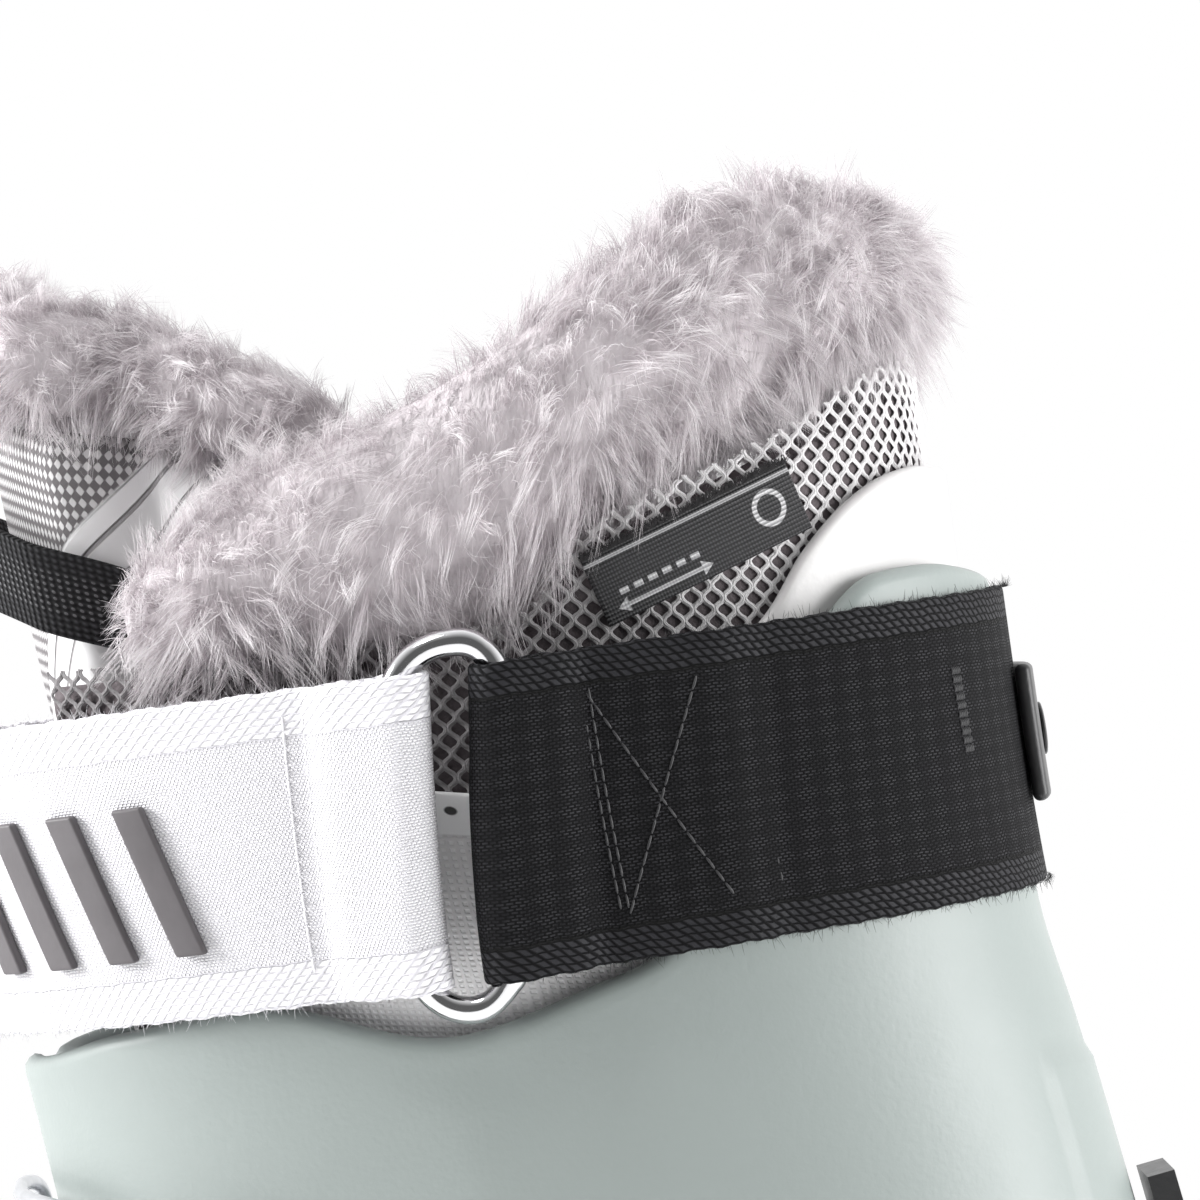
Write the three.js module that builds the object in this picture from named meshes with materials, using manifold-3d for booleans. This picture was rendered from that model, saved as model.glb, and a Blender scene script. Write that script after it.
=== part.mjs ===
// An alpine ski boot for the left foot, as an assembly of separate pieces.
// Millimetres, +Z up, toe towards -Y, heel towards +Y, +X is the outer side with the buckle levers.
import * as THREE from 'three';
import { mergeVertices } from 'three/addons/utils/BufferGeometryUtils.js';
import Module from 'manifold-3d';

const wasm = await Module();
wasm.setup();

// Driving dimensions.
const soleLength = 287;
const heelBack = 95;
const soleHeight = 12;
const ballHalfWidth = 50;
const heelHalfWidth = 41;
const cuffHalfWidth = 57;
const shellWall = 4.5;
const cuffWall = 4;
const pivotY = 35;
const pivotZ = 105;
const cuffRearTop = 285;
const cuffFrontTop = 217;
const spoilerRise = 15;
const spoilerThickness = 2.4;
const linerWall = 7;
const linerFloor = 5;
const tongueThickness = 7;
const strapWidth = 45;
const strapThickness = 1.6;
const strapHeight = 252.4;
const strapSlope = Math.tan(THREE.MathUtils.degToRad(8));
const strapLean = 0.0014;
const ringWire = 4;
const ringWidth = 18.3;
const ringY = -19.2;
const collarFurHeight = 34;
const collarFurThickness = 20;
const leverLength = 46;
const leverWidth = 10;
const wireRadius = 1.1;
const gap = 0.4;

const toeFront = heelBack - soleLength;
const group = new THREE.Group();

// Finishes.
const finish = (color, roughness, metalness = 0) => () =>
  new THREE.MeshStandardMaterial({ color, roughness, metalness });
const mintPlastic = finish(0xcdd7d4, 0.45);
const whitePlastic = finish(0xf2f1ef, 0.5);
const blackPlastic = finish(0x1b1b1d, 0.55);
const soleRubber = finish(0x2a2a2c, 0.8);
const greyFoam = finish(0x8a8a8c, 0.9);
const knit = finish(0xa9a7a7, 0.95);
const fur = finish(0xcfc4c8, 1);
const chrome = finish(0xd9dadc, 0.12, 1);
const steel = finish(0x9a9c9f, 0.35, 1);
const blackWeb = finish(0x141416, 0.85);
const whiteWeb = finish(0xeeedf0, 0.7);
const darkRubber = finish(0x3c3a3c, 0.6);

// Adds a named piece to the boot.
function add(name, geometry, material) {
  const mesh = new THREE.Mesh(geometry, material());
  mesh.name = name;
  group.add(mesh);
  return mesh;
}

// Shared vertices and positions only, as a closed solid needs.
function weld(geometry) {
  const bare = geometry.clone();
  bare.deleteAttribute('normal');
  bare.deleteAttribute('uv');
  return mergeVertices(bare, 1e-4);
}

function solid(geometry) {
  const merged = weld(geometry);
  const vertProperties = new Float32Array(merged.attributes.position.array);
  const triVerts = new Uint32Array(merged.index.array);
  return new wasm.Manifold(new wasm.Mesh({ numProp: 3, vertProperties, triVerts }));
}

function toGeometry(manifold) {
  const mesh = manifold.getMesh();
  const geometry = new THREE.BufferGeometry();
  geometry.setAttribute('position', new THREE.BufferAttribute(new Float32Array(mesh.vertProperties), 3));
  geometry.setIndex(new THREE.BufferAttribute(new Uint32Array(mesh.triVerts), 1));
  return geometry;
}

// Turns a closed geometry's faces outwards, as a mapping that mirrors leaves them pointing in.
function facingOut(geometry) {
  const position = geometry.attributes.position;
  const index = geometry.index;
  const corner = (i) => new THREE.Vector3().fromBufferAttribute(position, index.getX(i));
  let volume = 0;
  for (let i = 0; i < index.count; i += 3) volume += corner(i).dot(corner(i + 1).cross(corner(i + 2)));
  for (let i = 0; volume < 0 && i < index.count; i += 3) {
    const first = index.getX(i);
    index.setX(i, index.getX(i + 1));
    index.setX(i + 1, first);
  }
  return geometry;
}

// Moves every vertex of a geometry to place(x, y, z).
function warp(geometry, place) {
  const merged = weld(geometry);
  const position = merged.attributes.position;
  for (let i = 0; i < position.count; i += 1) {
    const p = place(position.getX(i), position.getY(i), position.getZ(i));
    position.setXYZ(i, p.x, p.y, p.z);
  }
  return facingOut(merged);
}

// A box in local coordinates, split so that it can bend: sides [low, high] and cuts along each.
function bar([u0, u1], [v0, v1], [n0, n1], cutsU = 1, cutsV = 1, cutsN = 1) {
  const box = new THREE.BoxGeometry(u1 - u0, v1 - v0, n1 - n0, cutsU, cutsV, cutsN);
  return box.translate((u0 + u1) / 2, (v0 + v1) / 2, (n0 + n1) / 2);
}

// A smooth curve through [at, value] stations that never overshoots them.
function stations(list) {
  const slope = list.slice(1).map((p, i) => (p[1] - list[i][1]) / (p[0] - list[i][0]));
  const tangent = list.map((p, i) => {
    if (i === 0) return slope[0];
    if (i === list.length - 1) return slope[i - 1];
    const product = slope[i - 1] * slope[i];
    return product <= 0 ? 0 : (2 * product) / (slope[i - 1] + slope[i]);
  });
  return (at) => {
    if (at <= list[0][0]) return list[0][1] + tangent[0] * (at - list[0][0]);
    const last = list.length - 1;
    if (at >= list[last][0]) return list[last][1] + tangent[last] * (at - list[last][0]);
    const i = list.findIndex((p, k) => k < last && at < list[k + 1][0]);
    const h = list[i + 1][0] - list[i][0];
    const t = (at - list[i][0]) / h;
    const u = 1 - t;
    return list[i][1] * (1 + 2 * t) * u * u + list[i + 1][1] * t * t * (3 - 2 * t)
      + h * tangent[i] * t * u * u - h * tangent[i + 1] * t * t * u;
  };
}

const smooth = (t) => {
  const s = Math.min(Math.max(t, 0), 1);
  return s * s * (3 - 2 * s);
};
const mix = (a, b, t) => a + (b - a) * t;
const signedPower = (value, power) => Math.sign(value) * Math.abs(value) ** power;
const degrees = THREE.MathUtils.degToRad;

// The leg surface: the cuff's outside, as horizontal sections that lean towards the toe.
const legRear = stations([[80, 94], [110, 95], [150, 88], [194, 76], [216, 69.5], [235, 63.5], [282, 56], [345, 48]]);
const legFront = stations([[80, -50], [130, -69], [206, -88.8], [260, -103], [345, -122]]);
const legHalf = stations([[80, heelHalfWidth + 6], [110, heelHalfWidth + 7.5],
  [180, Math.max(cuffHalfWidth - 5, heelHalfWidth + 8)], [250, cuffHalfWidth], [345, cuffHalfWidth + 3]]);
const legPower = 2 / 2.25;

// angle 0 is the heel side, 90 degrees the outer side, 180 degrees the shin.
function legBase(angle, z) {
  const rear = legRear(z);
  const front = legFront(z);
  const x = legHalf(z) * signedPower(Math.sin(angle), legPower);
  const y = (rear + front) / 2 + ((rear - front) / 2) * signedPower(Math.cos(angle), legPower);
  return new THREE.Vector3(x, y, z);
}

function surfaceFrame(base, a, b, stepA, stepB) {
  const point = base(a, b);
  const alongA = base(a + stepA, b).sub(base(a - stepA, b));
  const alongB = base(a, b + stepB).sub(base(a, b - stepB));
  return { point, normal: alongB.cross(alongA).normalize() };
}

function onLeg(angle, z, offset) {
  const { point, normal } = surfaceFrame(legBase, angle, z, 0.02, 1);
  return point.addScaledVector(normal, offset);
}

// The foot surface: the lower shell's outside, as horizontal outlines from the sole to the ankle.
const toeStart = toeFront + 4;
const drawnLength = 287;
const longer = soleLength - drawnLength;
const footRear = stations([[soleHeight, heelBack - 6], [40, heelBack - 1.5], [80, heelBack - 5],
  [110, heelBack - 6.8], [130, heelBack - 12], [150, heelBack - 19]]);
const footFront = stations([[soleHeight, toeStart], [36, toeStart - 3], [56, toeStart + 5], [68, toeStart + 24],
  [78, toeStart + 52], [92, -106 - 0.5 * longer], [112, -80 - 0.1 * longer], [132, -62], [150, -56]]);
const heelHalf = stations([[soleHeight, heelHalfWidth - 5], [50, heelHalfWidth], [110, heelHalfWidth + 1.2],
  [150, heelHalfWidth + 3]]);
const ballHalf = stations([[soleHeight, ballHalfWidth - 5], [36, ballHalfWidth], [60, ballHalfWidth - 3],
  [80, ballHalfWidth - 11], [98, ballHalfWidth - 21], [126, ballHalfWidth - 22],
  [150, ballHalfWidth - 13]]);
const footPower = 2.5;

function footHalf(y, z, inset = 0) {
  const rear = footRear(z) - inset;
  const front = footFront(z + inset * 0.8) + inset;
  const middle = (rear + front) / 2;
  const across = Math.abs((y - middle) / ((rear - front) / 2));
  if (across >= 1) return 0;
  const width = mix(heelHalf(z), ballHalf(z), smooth((45 - y) / 130)) - inset;
  return width * (1 - across ** footPower) ** (1 / footPower);
}

function footOutline(angle, z, inset = 0) {
  const rear = footRear(z) - inset;
  const front = footFront(z + inset * 0.8) + inset;
  const y = (rear + front) / 2 + ((rear - front) / 2) * signedPower(Math.cos(angle), 2 / footPower);
  const x = footHalf(y, z, inset) * Math.sign(Math.sin(angle));
  return new THREE.Vector3(x, y, z);
}

// A point over the instep: across the foot at station y, by an angle from straight up.
const instepCore = 45;
function instepBase(angle, y) {
  const direction = new THREE.Vector3(Math.sin(angle), 0, Math.cos(angle));
  let inside = 0;
  let outside = 160;
  for (let i = 0; i < 40; i += 1) {
    const reach = (inside + outside) / 2;
    const z = instepCore + direction.z * reach;
    const within = Math.abs(direction.x * reach) < footHalf(y, z) && z < 160;
    if (within) inside = reach;
    else outside = reach;
  }
  return new THREE.Vector3(direction.x * inside, y, instepCore + direction.z * inside);
}

// A capped cylinder whose rings follow a section, for a loft.
function loft(section, low, high, columns, rows) {
  const cylinder = new THREE.CylinderGeometry(1, 1, 1, columns, rows);
  return warp(cylinder, (x, y, z) => {
    const height = mix(low, high, y + 0.5);
    const radius = Math.hypot(x, z);
    if (radius < 0.5) return new THREE.Vector3(0, section(0, height).y / 2 + section(Math.PI, height).y / 2, height);
    return section(Math.atan2(x, z), height);
  });
}

// A wedge of space between two profiles seen from the side, right through the boot along X.
function sideCut(points, halfWidth = 120) {
  const shape = new THREE.Shape(points.map(([y, z]) => new THREE.Vector2(y, z)));
  const block = new THREE.ExtrudeGeometry(shape, { depth: 2 * halfWidth, bevelEnabled: false });
  return solid(warp(block, (y, z, x) => new THREE.Vector3(x - halfWidth, y, z)));
}

// Points along a smooth side profile from one y to another.
function sampled(profile, from, to, count) {
  return Array.from({ length: count + 1 }, (_, i) => {
    const y = mix(from, to, i / count);
    return [y, profile(y)];
  });
}

// A round bar along X.
function crossBar(radius, x0, x1, y, z, sides = 20) {
  const cylinder = new THREE.CylinderGeometry(radius, radius, x1 - x0, sides);
  return cylinder.rotateZ(-Math.PI / 2).translate((x0 + x1) / 2, y, z);
}

// ---- Lower shell: one moulded clog, open at the ankle and slit over the instep ----
const shellTop = 150;
const shellFloor = soleHeight + gap;
const insideFloor = shellFloor + shellWall;
const shellOuter = solid(loft((a, z) => footOutline(a, z), shellFloor, shellTop, 40, 13));
const shellInner = solid(loft((a, z) => footOutline(a, z, shellWall), insideFloor, shellTop + 10, 32, 12));
const slitWidth = 1.6;
const slitX = -6;
const throat = solid(bar([slitX - slitWidth, slitX], [-128, -20], [70, 170]));
const pivotShank = 4;
const pivotClearance = 0.4;
const pivotNut = 7;
const pivotInside = Math.min(...[-1, 1].flatMap((sideways) => [-1, 1].map((along) =>
  footHalf(pivotY + sideways * pivotNut, pivotZ + along * pivotNut, shellWall)))) - 1.6;
const pivotHole = solid(crossBar(pivotShank + pivotClearance, -80, 80, pivotY, pivotZ));
const lowerShell = shellOuter.subtract(shellInner).subtract(throat).subtract(pivotHole);
add('lower_shell', toGeometry(lowerShell), mintPlastic);

// ---- Sole blocks under the toe and the heel, each held by two screws ----
const soleGap = 63;
const heelBlockFront = heelBack - 107;
const toeBlockBack = heelBlockFront - soleGap;
const screwRadius = 3.2;
const screwHead = 3;
function soleBlock(name, back, front) {
  const outline = Array.from({ length: 48 }, (_, i) => {
    const p = footOutline((i / 48) * 2 * Math.PI, soleHeight);
    return new THREE.Vector2(p.x * 0.98, mix(heelBack - soleLength / 2, p.y, 0.99));
  });
  const plate = new THREE.ExtrudeGeometry(new THREE.Shape(outline), { depth: soleHeight, bevelEnabled: false });
  let block = solid(plate).intersect(solid(bar([-90, 90], [front, back], [-1, soleHeight + 1])));
  const middle = name === 'toe_sole' ? (back + front) / 2 + 12 : (back + front) / 2 - 6;
  [-1, 1].forEach((side) => {
    const x = side * 22;
    const hole = new THREE.CylinderGeometry(screwRadius + gap, screwRadius + gap, 8, 16);
    block = block.subtract(solid(hole.rotateX(Math.PI / 2).translate(x, middle, 2)));
    const screw = new THREE.CylinderGeometry(screwRadius, screwRadius, screwHead, 16);
    add(`${name}_screw_${side < 0 ? 'inner' : 'outer'}`,
      weld(screw.rotateX(Math.PI / 2).translate(x, middle, 6 - gap * 0.8 - screwHead / 2)), steel);
  });
  add(name, toGeometry(block), soleRubber);
}
soleBlock('heel_sole', heelBack + 5, heelBlockFront);
soleBlock('toe_sole', toeBlockBack, toeFront - 5);

// ---- Boot board: the ramp that the liner stands on ----
const boardHeel = 9;
const boardToe = 5;
const boardInset = shellWall + 2;
const boardTop = (y) => insideFloor + gap + mix(boardToe, boardHeel, smooth((y - toeFront) / soleLength));
const boardOutline = Array.from({ length: 40 }, (_, i) => {
  const p = footOutline((i / 40) * 2 * Math.PI, soleHeight + 6, boardInset);
  return new THREE.Vector2(p.x, p.y);
});
const boardBlock = solid(new THREE.ExtrudeGeometry(new THREE.Shape(boardOutline),
  { depth: 30, bevelEnabled: false }).translate(0, 0, insideFloor + gap));
const boardCut = sideCut([...sampled(boardTop, toeFront - 10, heelBack + 10, 4),
  [heelBack + 10, 90], [toeFront - 10, 90]]);
add('boot_board', toGeometry(boardBlock.subtract(boardCut)), greyFoam);

// ---- Liner foot: the soft bootie inside the lower shell, and its footbed ----
const footLinerInset = shellWall + 1.6;
const footLinerBottom = insideFloor + boardHeel + 2 * gap;
const footLinerTop = 132;
const linerFoot = solid(loft((a, z) => footOutline(a, z, footLinerInset), footLinerBottom, footLinerTop, 28, 8))
  .subtract(solid(loft((a, z) => footOutline(a, z, footLinerInset + linerWall),
    footLinerBottom + linerFloor, footLinerTop + 6, 24, 8)))
  .subtract(sideCut([[-70, footLinerTop + 20], [-70, 112], [-20, footLinerTop - 8], [heelBack + 5, footLinerTop - 30],
    [heelBack + 5, footLinerTop + 20]]))
  .subtract(solid(crossBar(pivotNut + 1.5, pivotInside - 1.5, 80, pivotY, pivotZ)))
  .subtract(solid(crossBar(pivotNut + 1.5, -80, 1.5 - pivotInside, pivotY, pivotZ)));
add('liner_foot', toGeometry(linerFoot), greyFoam);
const footbedOutline = Array.from({ length: 36 }, (_, i) => {
  const p = footOutline((i / 36) * 2 * Math.PI, footLinerBottom + linerFloor + 1, footLinerInset + linerWall + 2.5);
  return new THREE.Vector2(p.x, p.y);
});
add('footbed', weld(new THREE.ExtrudeGeometry(new THREE.Shape(footbedOutline),
  { depth: 4, bevelEnabled: false }).translate(0, 0, footLinerBottom + linerFloor + gap)), greyFoam);

// ---- Cuff: a wrap that hinges at the ankle, its outer flap lapped over its inner flap at the shin ----
const flapEdge = degrees(176);
const lapDegrees = 26;
const lapDrop = cuffWall + 0.7;
const lapStart = degrees(-176);
const lapInset = (angle) => lapDrop * smooth((degrees(-118) - angle) / degrees(20));
const cuffSheet = new THREE.BoxGeometry(1, 1, 1, 56, 8, 1);
const cuffLow = 78;
const cuffHigh = cuffRearTop + 4;
const cuffWrap = warp(cuffSheet, (x, y, z) => {
  const angle = mix(lapStart - degrees(lapDegrees), flapEdge, x + 0.5);
  return onLeg(angle, mix(cuffLow, cuffHigh, y + 0.5), -lapInset(angle) + (z - 0.5) * cuffWall);
});
const cuffTopLine = stations([[-130, cuffFrontTop - 12], [-88, cuffFrontTop - 6], [-74, cuffFrontTop - 1],
  [-50, cuffFrontTop + 4], [-26.6, cuffFrontTop], [-2.7, cuffFrontTop + 8], [7, cuffFrontTop + 13],
  [20, cuffRearTop - 30], [30, cuffRearTop - 9], [38, cuffRearTop - 1.5], [48, cuffRearTop], [62, cuffRearTop - 3]]);
const cuffBottomLine = stations([[-90, 143], [-60, 140], [-20, 108], [10, 90], [pivotY, 86], [60, 86], [100, 88]]);
const cuffAbove = sideCut([...sampled(cuffTopLine, -110, 62, 34), [120, cuffRearTop - 6], [120, 400], [-110, 400]]);
const cuffBelow = sideCut([[-130, 0], [120, 0], [120, 88], ...sampled(cuffBottomLine, 100, -90, 16), [-130, 146]]);
const cuff = solid(cuffWrap).subtract(cuffAbove).subtract(cuffBelow).subtract(pivotHole);
add('cuff', toGeometry(cuff), mintPlastic);

// ---- Ankle pivots: a domed bolt through both walls on each side ----
const pivotHead = 9;
[[1, 'outer'], [-1, 'inner']].forEach(([side, word]) => {
  const face = legBase(Math.PI / 2, pivotZ).x + 0.5;
  const profile = [[0, pivotInside], [pivotNut, pivotInside], [pivotNut, pivotInside + 1.2],
    [pivotShank, pivotInside + 1.2], [pivotShank, face], [pivotHead, face], [pivotHead, face + 1.2],
    [pivotHead - 2, face + 3], [0, face + 3.4]].map(([r, h]) => new THREE.Vector2(r, h));
  const bolt = facingOut(weld(new THREE.LatheGeometry(profile, 20)));
  bolt.rotateZ(side * -Math.PI / 2).translate(0, pivotY, pivotZ);
  add(`pivot_bolt_${word}`, bolt, steel);
});

// ---- Rear spoiler: a white blade between the cuff's spine and the liner, held by two screws ----
const spoilerOffset = -cuffWall - gap;
const spoilerTop = stations([[10, cuffRearTop - 20], [23.7, cuffRearTop - 7], [29.6, cuffRearTop + 2],
  [37, cuffRearTop + 9.5], [43.6, cuffRearTop + spoilerRise - 1.5], [49.6, cuffRearTop + spoilerRise]]);
const spoilerHalfAngle = degrees(72);
const spoilerLow = 205;
const spoilerSheet = warp(new THREE.BoxGeometry(1, 1, 1, 20, 6, 1), (x, y, z) => onLeg(2 * x * spoilerHalfAngle,
  mix(spoilerLow, cuffRearTop + spoilerRise + 4, y + 0.5), spoilerOffset + (z - 0.5) * spoilerThickness));
const spoilerAbove = sideCut([...sampled(spoilerTop, -30, 49.6, 16), [90, cuffRearTop + spoilerRise - 2], [90, 400],
  [-30, 400]]);
const spoiler = solid(spoilerSheet).subtract(spoilerAbove);
add('spoiler', toGeometry(spoiler), whitePlastic);

// ---- Liner cuff: the knit upper of the bootie, open at the shin, with side panels ----
const linerOffset = -cuffWall - gap - spoilerThickness - gap - 0.3;
const collarLine = stations([[-110, 262], [-80, 266], [-15, 274], [-3, 287], [24, 300], [50, 314], [70, 318]]);
const linerSplit = stations([[-110, 162], [-45, 161], [-26, 159], [-12, 143], [pivotY, 126], [120, 104]]);
const ankleSqueeze = 12.5;
const linerInset = (angle) => Math.max(lapInset(angle) - spoilerThickness, 0);
const linerOpenAngle = degrees(143);
const linerRows = [96, 124, shellTop + 2, shellTop + 16, 190, 215, 240, 265, 292, 322];
const linerSheet = warp(new THREE.BoxGeometry(1, 1, 1, 36, 9, 1), (x, y, z) => {
  const height = linerRows[Math.round((y + 0.5) * 9)];
  const squeeze = ankleSqueeze * smooth((shellTop + 14 - height) / 11);
  const angle = 2 * x * linerOpenAngle;
  return onLeg(angle, height, linerOffset - linerInset(angle) - squeeze + (z - 0.5) * linerWall);
});
const linerAbove = sideCut([...sampled(collarLine, -110, 70, 16), [120, 325], [120, 420], [-110, 420]]);
const linerBelow = sideCut([[-130, 0], [120, 0], ...sampled(linerSplit, 120, -110, 8), [-130, 152]]);
add('liner_cuff', toGeometry(solid(linerSheet).subtract(linerAbove).subtract(linerBelow)), knit);

// ---- Tongue: the padded shin piece inside the liner's open front ----
const tongueOffset = linerOffset - linerWall - 0.6 - (lapDrop - spoilerThickness);
const tongueHalfAngle = degrees(66);
const tongueTop = 304;
const tongueLow = 171;
const tongueTuck = 11.5;
const fromShin = (angle) => Math.abs(angle - Math.PI);
const tongueAt = (angle) => tongueOffset - tongueTuck * smooth((fromShin(angle) - degrees(36)) / degrees(16));
const tongueDrop = (angle) => 9 * (fromShin(angle) / tongueHalfAngle) ** 2;
add('tongue', warp(new THREE.BoxGeometry(1, 1, 1, 24, 8, 1), (x, y, z) => {
  const spread = mix(0.6, 1, smooth((y + 0.5) * 1.6));
  const angle = Math.PI + 2 * x * tongueHalfAngle * spread;
  const height = mix(tongueLow, tongueTop - tongueDrop(angle), y + 0.5);
  return onLeg(angle, height, tongueAt(angle) + (z - 0.5) * tongueThickness);
}), knit);

// A sausage: an oval section carried along places(t), with round ends.
function sausage(places, steps, sides) {
  const sphere = new THREE.CylinderGeometry(1, 1, 1, sides, steps);
  return warp(sphere, (x, y, z) => {
    const t = y + 0.5;
    const end = Math.min(t, 1 - t);
    const swell = Math.sqrt(Math.max(1 - (1 - Math.min(end / 0.06, 1)) ** 2, 0.12));
    return places(t, x * swell, z * swell);
  });
}

// ---- Fur collar around the liner's top, and the fur roll on the tongue ----
const furAngle = degrees(126);
const furSeat = 3.1;
const furOffset = linerOffset - collarFurThickness / 2 + 5;
add('collar_fur', sausage((t, across, up) => {
  const angle = mix(-furAngle, furAngle, t);
  const level = collarLine(legBase(angle, 300).y) + furSeat + collarFurHeight / 2;
  return onLeg(angle, level + up * collarFurHeight / 2, furOffset - across * collarFurThickness / 2);
}, 30, 10), fur);
const tongueFurHeight = 20;
const tongueFurThickness = 17;
const tongueFurAngle = degrees(60);
add('tongue_fur', sausage((t, across, up) => {
  const angle = Math.PI + mix(-tongueFurAngle, tongueFurAngle, t);
  const level = tongueTop - tongueDrop(angle) + gap + tongueFurHeight / 2;
  return onLeg(angle, level + up * tongueFurHeight / 2,
    tongueAt(angle) - tongueThickness / 2 - across * tongueFurThickness / 2);
}, 20, 10), fur);

// ---- Power strap: rear web, steel ring, front web folded through the ring ----
function strapPoint(angle, across, offset) {
  const turned = angle - strapLean * across * Math.sin(angle);
  let z = strapHeight;
  for (let i = 0; i < 4; i += 1) {
    z = strapHeight + strapSlope * (legBase(turned, z).y - 10) + across;
  }
  return onLeg(turned, z, offset);
}
const ringAngle = Math.acos(Math.sign(ringY + 17) * (Math.abs(ringY + 17) / 81) ** (1 / legPower));
const arcTable = [[0, 0]];
for (let i = 1; i <= 400; i += 1) {
  const angle = (i / 400) * 2 * Math.PI;
  const step = strapPoint(angle, 0, 1).distanceTo(strapPoint(((i - 1) / 400) * 2 * Math.PI, 0, 1));
  arcTable.push([angle, arcTable[i - 1][1] + step]);
}
const strapLength = arcTable[400][1];
function angleAtArc(arc) {
  const wrapped = ((arc % strapLength) + strapLength) % strapLength;
  const i = Math.min(arcTable.findIndex((row) => row[1] > wrapped), 400);
  const share = (wrapped - arcTable[i - 1][1]) / (arcTable[i][1] - arcTable[i - 1][1]);
  return mix(arcTable[i - 1][0], arcTable[i][0], share);
}
const ringArc = arcTable.find((row) => row[0] > ringAngle)[1];

// A web follows a route of [arc, offset] points, with its thickness across the route.
function web(route, width, thickness) {
  const steps = route.length - 1;
  const sheet = new THREE.BoxGeometry(1, 1, 1, steps, 1, 1);
  return warp(sheet, (x, y, z) => {
    const i = Math.round((x + 0.5) * steps);
    const before = route[Math.max(i - 1, 0)];
    const after = route[Math.min(i + 1, steps)];
    const along = new THREE.Vector2(after[0] - before[0], after[1] - before[1]).normalize();
    const arc = route[i][0] - along.y * z * thickness;
    const offset = route[i][1] + along.x * z * thickness;
    return strapPoint(angleAtArc(ringArc + arc), y * width, offset);
  });
}
const inLayer = gap + strapThickness / 2;
const outLayer = inLayer + strapThickness + gap;
const barArc = ringWidth / 2 - ringWire / 2;
const ringInside = strapWidth + 3;
const ringStraight = ringInside / 2 + ringWire / 2 - barArc;
const edgeShift = barArc - Math.sqrt(Math.max(barArc ** 2 - Math.max(strapWidth / 2 - ringStraight, 0) ** 2, 0));
const loopRadius = ringWire / 2 + Math.max(1.4, edgeShift + 0.39) + strapThickness / 2;
const ringOffset = inLayer + loopRadius - 1;
// The turn around a ring bar, from the inner side to the outer side; towards is +1 at the shin side.
function loopTurn(towards, turnSteps = 8) {
  return Array.from({ length: turnSteps + 1 }, (_, i) => {
    const turn = mix(-Math.PI / 2, Math.PI / 2, i / turnSteps);
    return [towards * (barArc - loopRadius * Math.cos(turn)), ringOffset + loopRadius * Math.sin(turn)];
  });
}
function run(from, to, start, end, steps) {
  return Array.from({ length: steps + 1 }, (_, i) =>
    [mix(from, to, i / steps), mix(start, end, smooth(i / steps))]);
}
const rearInnerEnd = -36;
const rearLevel = -(strapLength / 2 - 4);
const rearWebRoute = [...run(rearInnerEnd, -barArc - 12, inLayer, inLayer, 3),
  ...run(-barArc - 8, -barArc - 4, inLayer, ringOffset - loopRadius, 1), ...loopTurn(-1),
  ...run(-barArc - 5, -barArc - 12, ringOffset + loopRadius - 0.3, outLayer, 2).slice(1),
  ...run(-barArc - 17, rearInnerEnd - 3, outLayer, outLayer, 2),
  ...run(rearInnerEnd - 10, rearLevel - 24, inLayer, inLayer, 28)];
add('strap_rear_web', web(rearWebRoute.reverse(), strapWidth, strapThickness), blackWeb);

const frontFoldEnd = strapLength / 2 - 34;
const sewnOverlap = 30;
const seamArc = strapLength + rearLevel - 24;
const frontWebRoute = [...run(seamArc + sewnOverlap, seamArc - 3, outLayer, outLayer, 4),
  ...run(seamArc - 9, barArc + 12, inLayer, inLayer, 26),
  ...run(barArc + 8, barArc + 4, inLayer, ringOffset - loopRadius, 1), ...loopTurn(1),
  ...run(barArc + 5, barArc + 12, ringOffset + loopRadius - 0.3, outLayer, 2).slice(1),
  ...run(barArc + 18, Math.min(frontFoldEnd, seamArc - 18), outLayer, outLayer, 18)];
add('strap_front_web', web(frontWebRoute, strapWidth, strapThickness), whiteWeb);

add('strap_ring', warp(new THREE.TorusGeometry(10, 1, 8, 36), (x, y, z) => {
  const around = Math.atan2(y, x);
  const out = Math.hypot(x, y) - 10;
  const line = new THREE.Vector2(barArc * Math.cos(around), barArc * Math.sin(around));
  const shift = ringStraight * Math.max(-1, Math.min(1, Math.sin(around) * 4));
  const normal = line.clone().normalize().multiplyScalar(out * ringWire / 2);
  return strapPoint(angleAtArc(ringArc + line.x + normal.x), line.y + shift + normal.y,
    ringOffset + z * ringWire / 2);
}), chrome);

// Raised rubber bars on the front web.
const barCount = 5;
const barPitch = 11;
const barWidth = 4.6;
const barTall = 22;
const barSlant = 0.28;
for (let i = 0; i < barCount; i += 1) {
  const start = barArc + 33 + i * barPitch;
  const low = outLayer + strapThickness / 2 + gap / 2 + 0.1;
  add(`strap_bar_${i + 1}`, warp(bar([start, start + barWidth], [-barTall / 2, barTall / 2], [low, low + 1.5], 2, 1),
    (u, v, n) => strapPoint(angleAtArc(ringArc + u + v * barSlant), v - 2, n)), darkRubber);
}

// Rear plate and its screw, which pin the strap to the cuff's spine.
const plateTall = 21;
const plateHalf = 13;
const plateLow = gap * 2 + strapThickness;
const rearArc = strapLength - ringArc;
const onSpine = (u, v, n) => strapPoint(angleAtArc(ringArc + rearArc + u), v, n);
add('strap_plate', warp(bar([-plateHalf, plateHalf], [-plateTall / 2, plateTall / 2], [plateLow, plateLow + 2.4], 6, 1),
  onSpine), blackPlastic);
const plateFace = onSpine(0, 0, plateLow + 2.4);
add('strap_screw', weld(new THREE.CylinderGeometry(4, 4.4, 1.4, 16)
  .translate(plateFace.x, plateFace.y + 1.2 + gap, plateFace.z)), steel);

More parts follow.
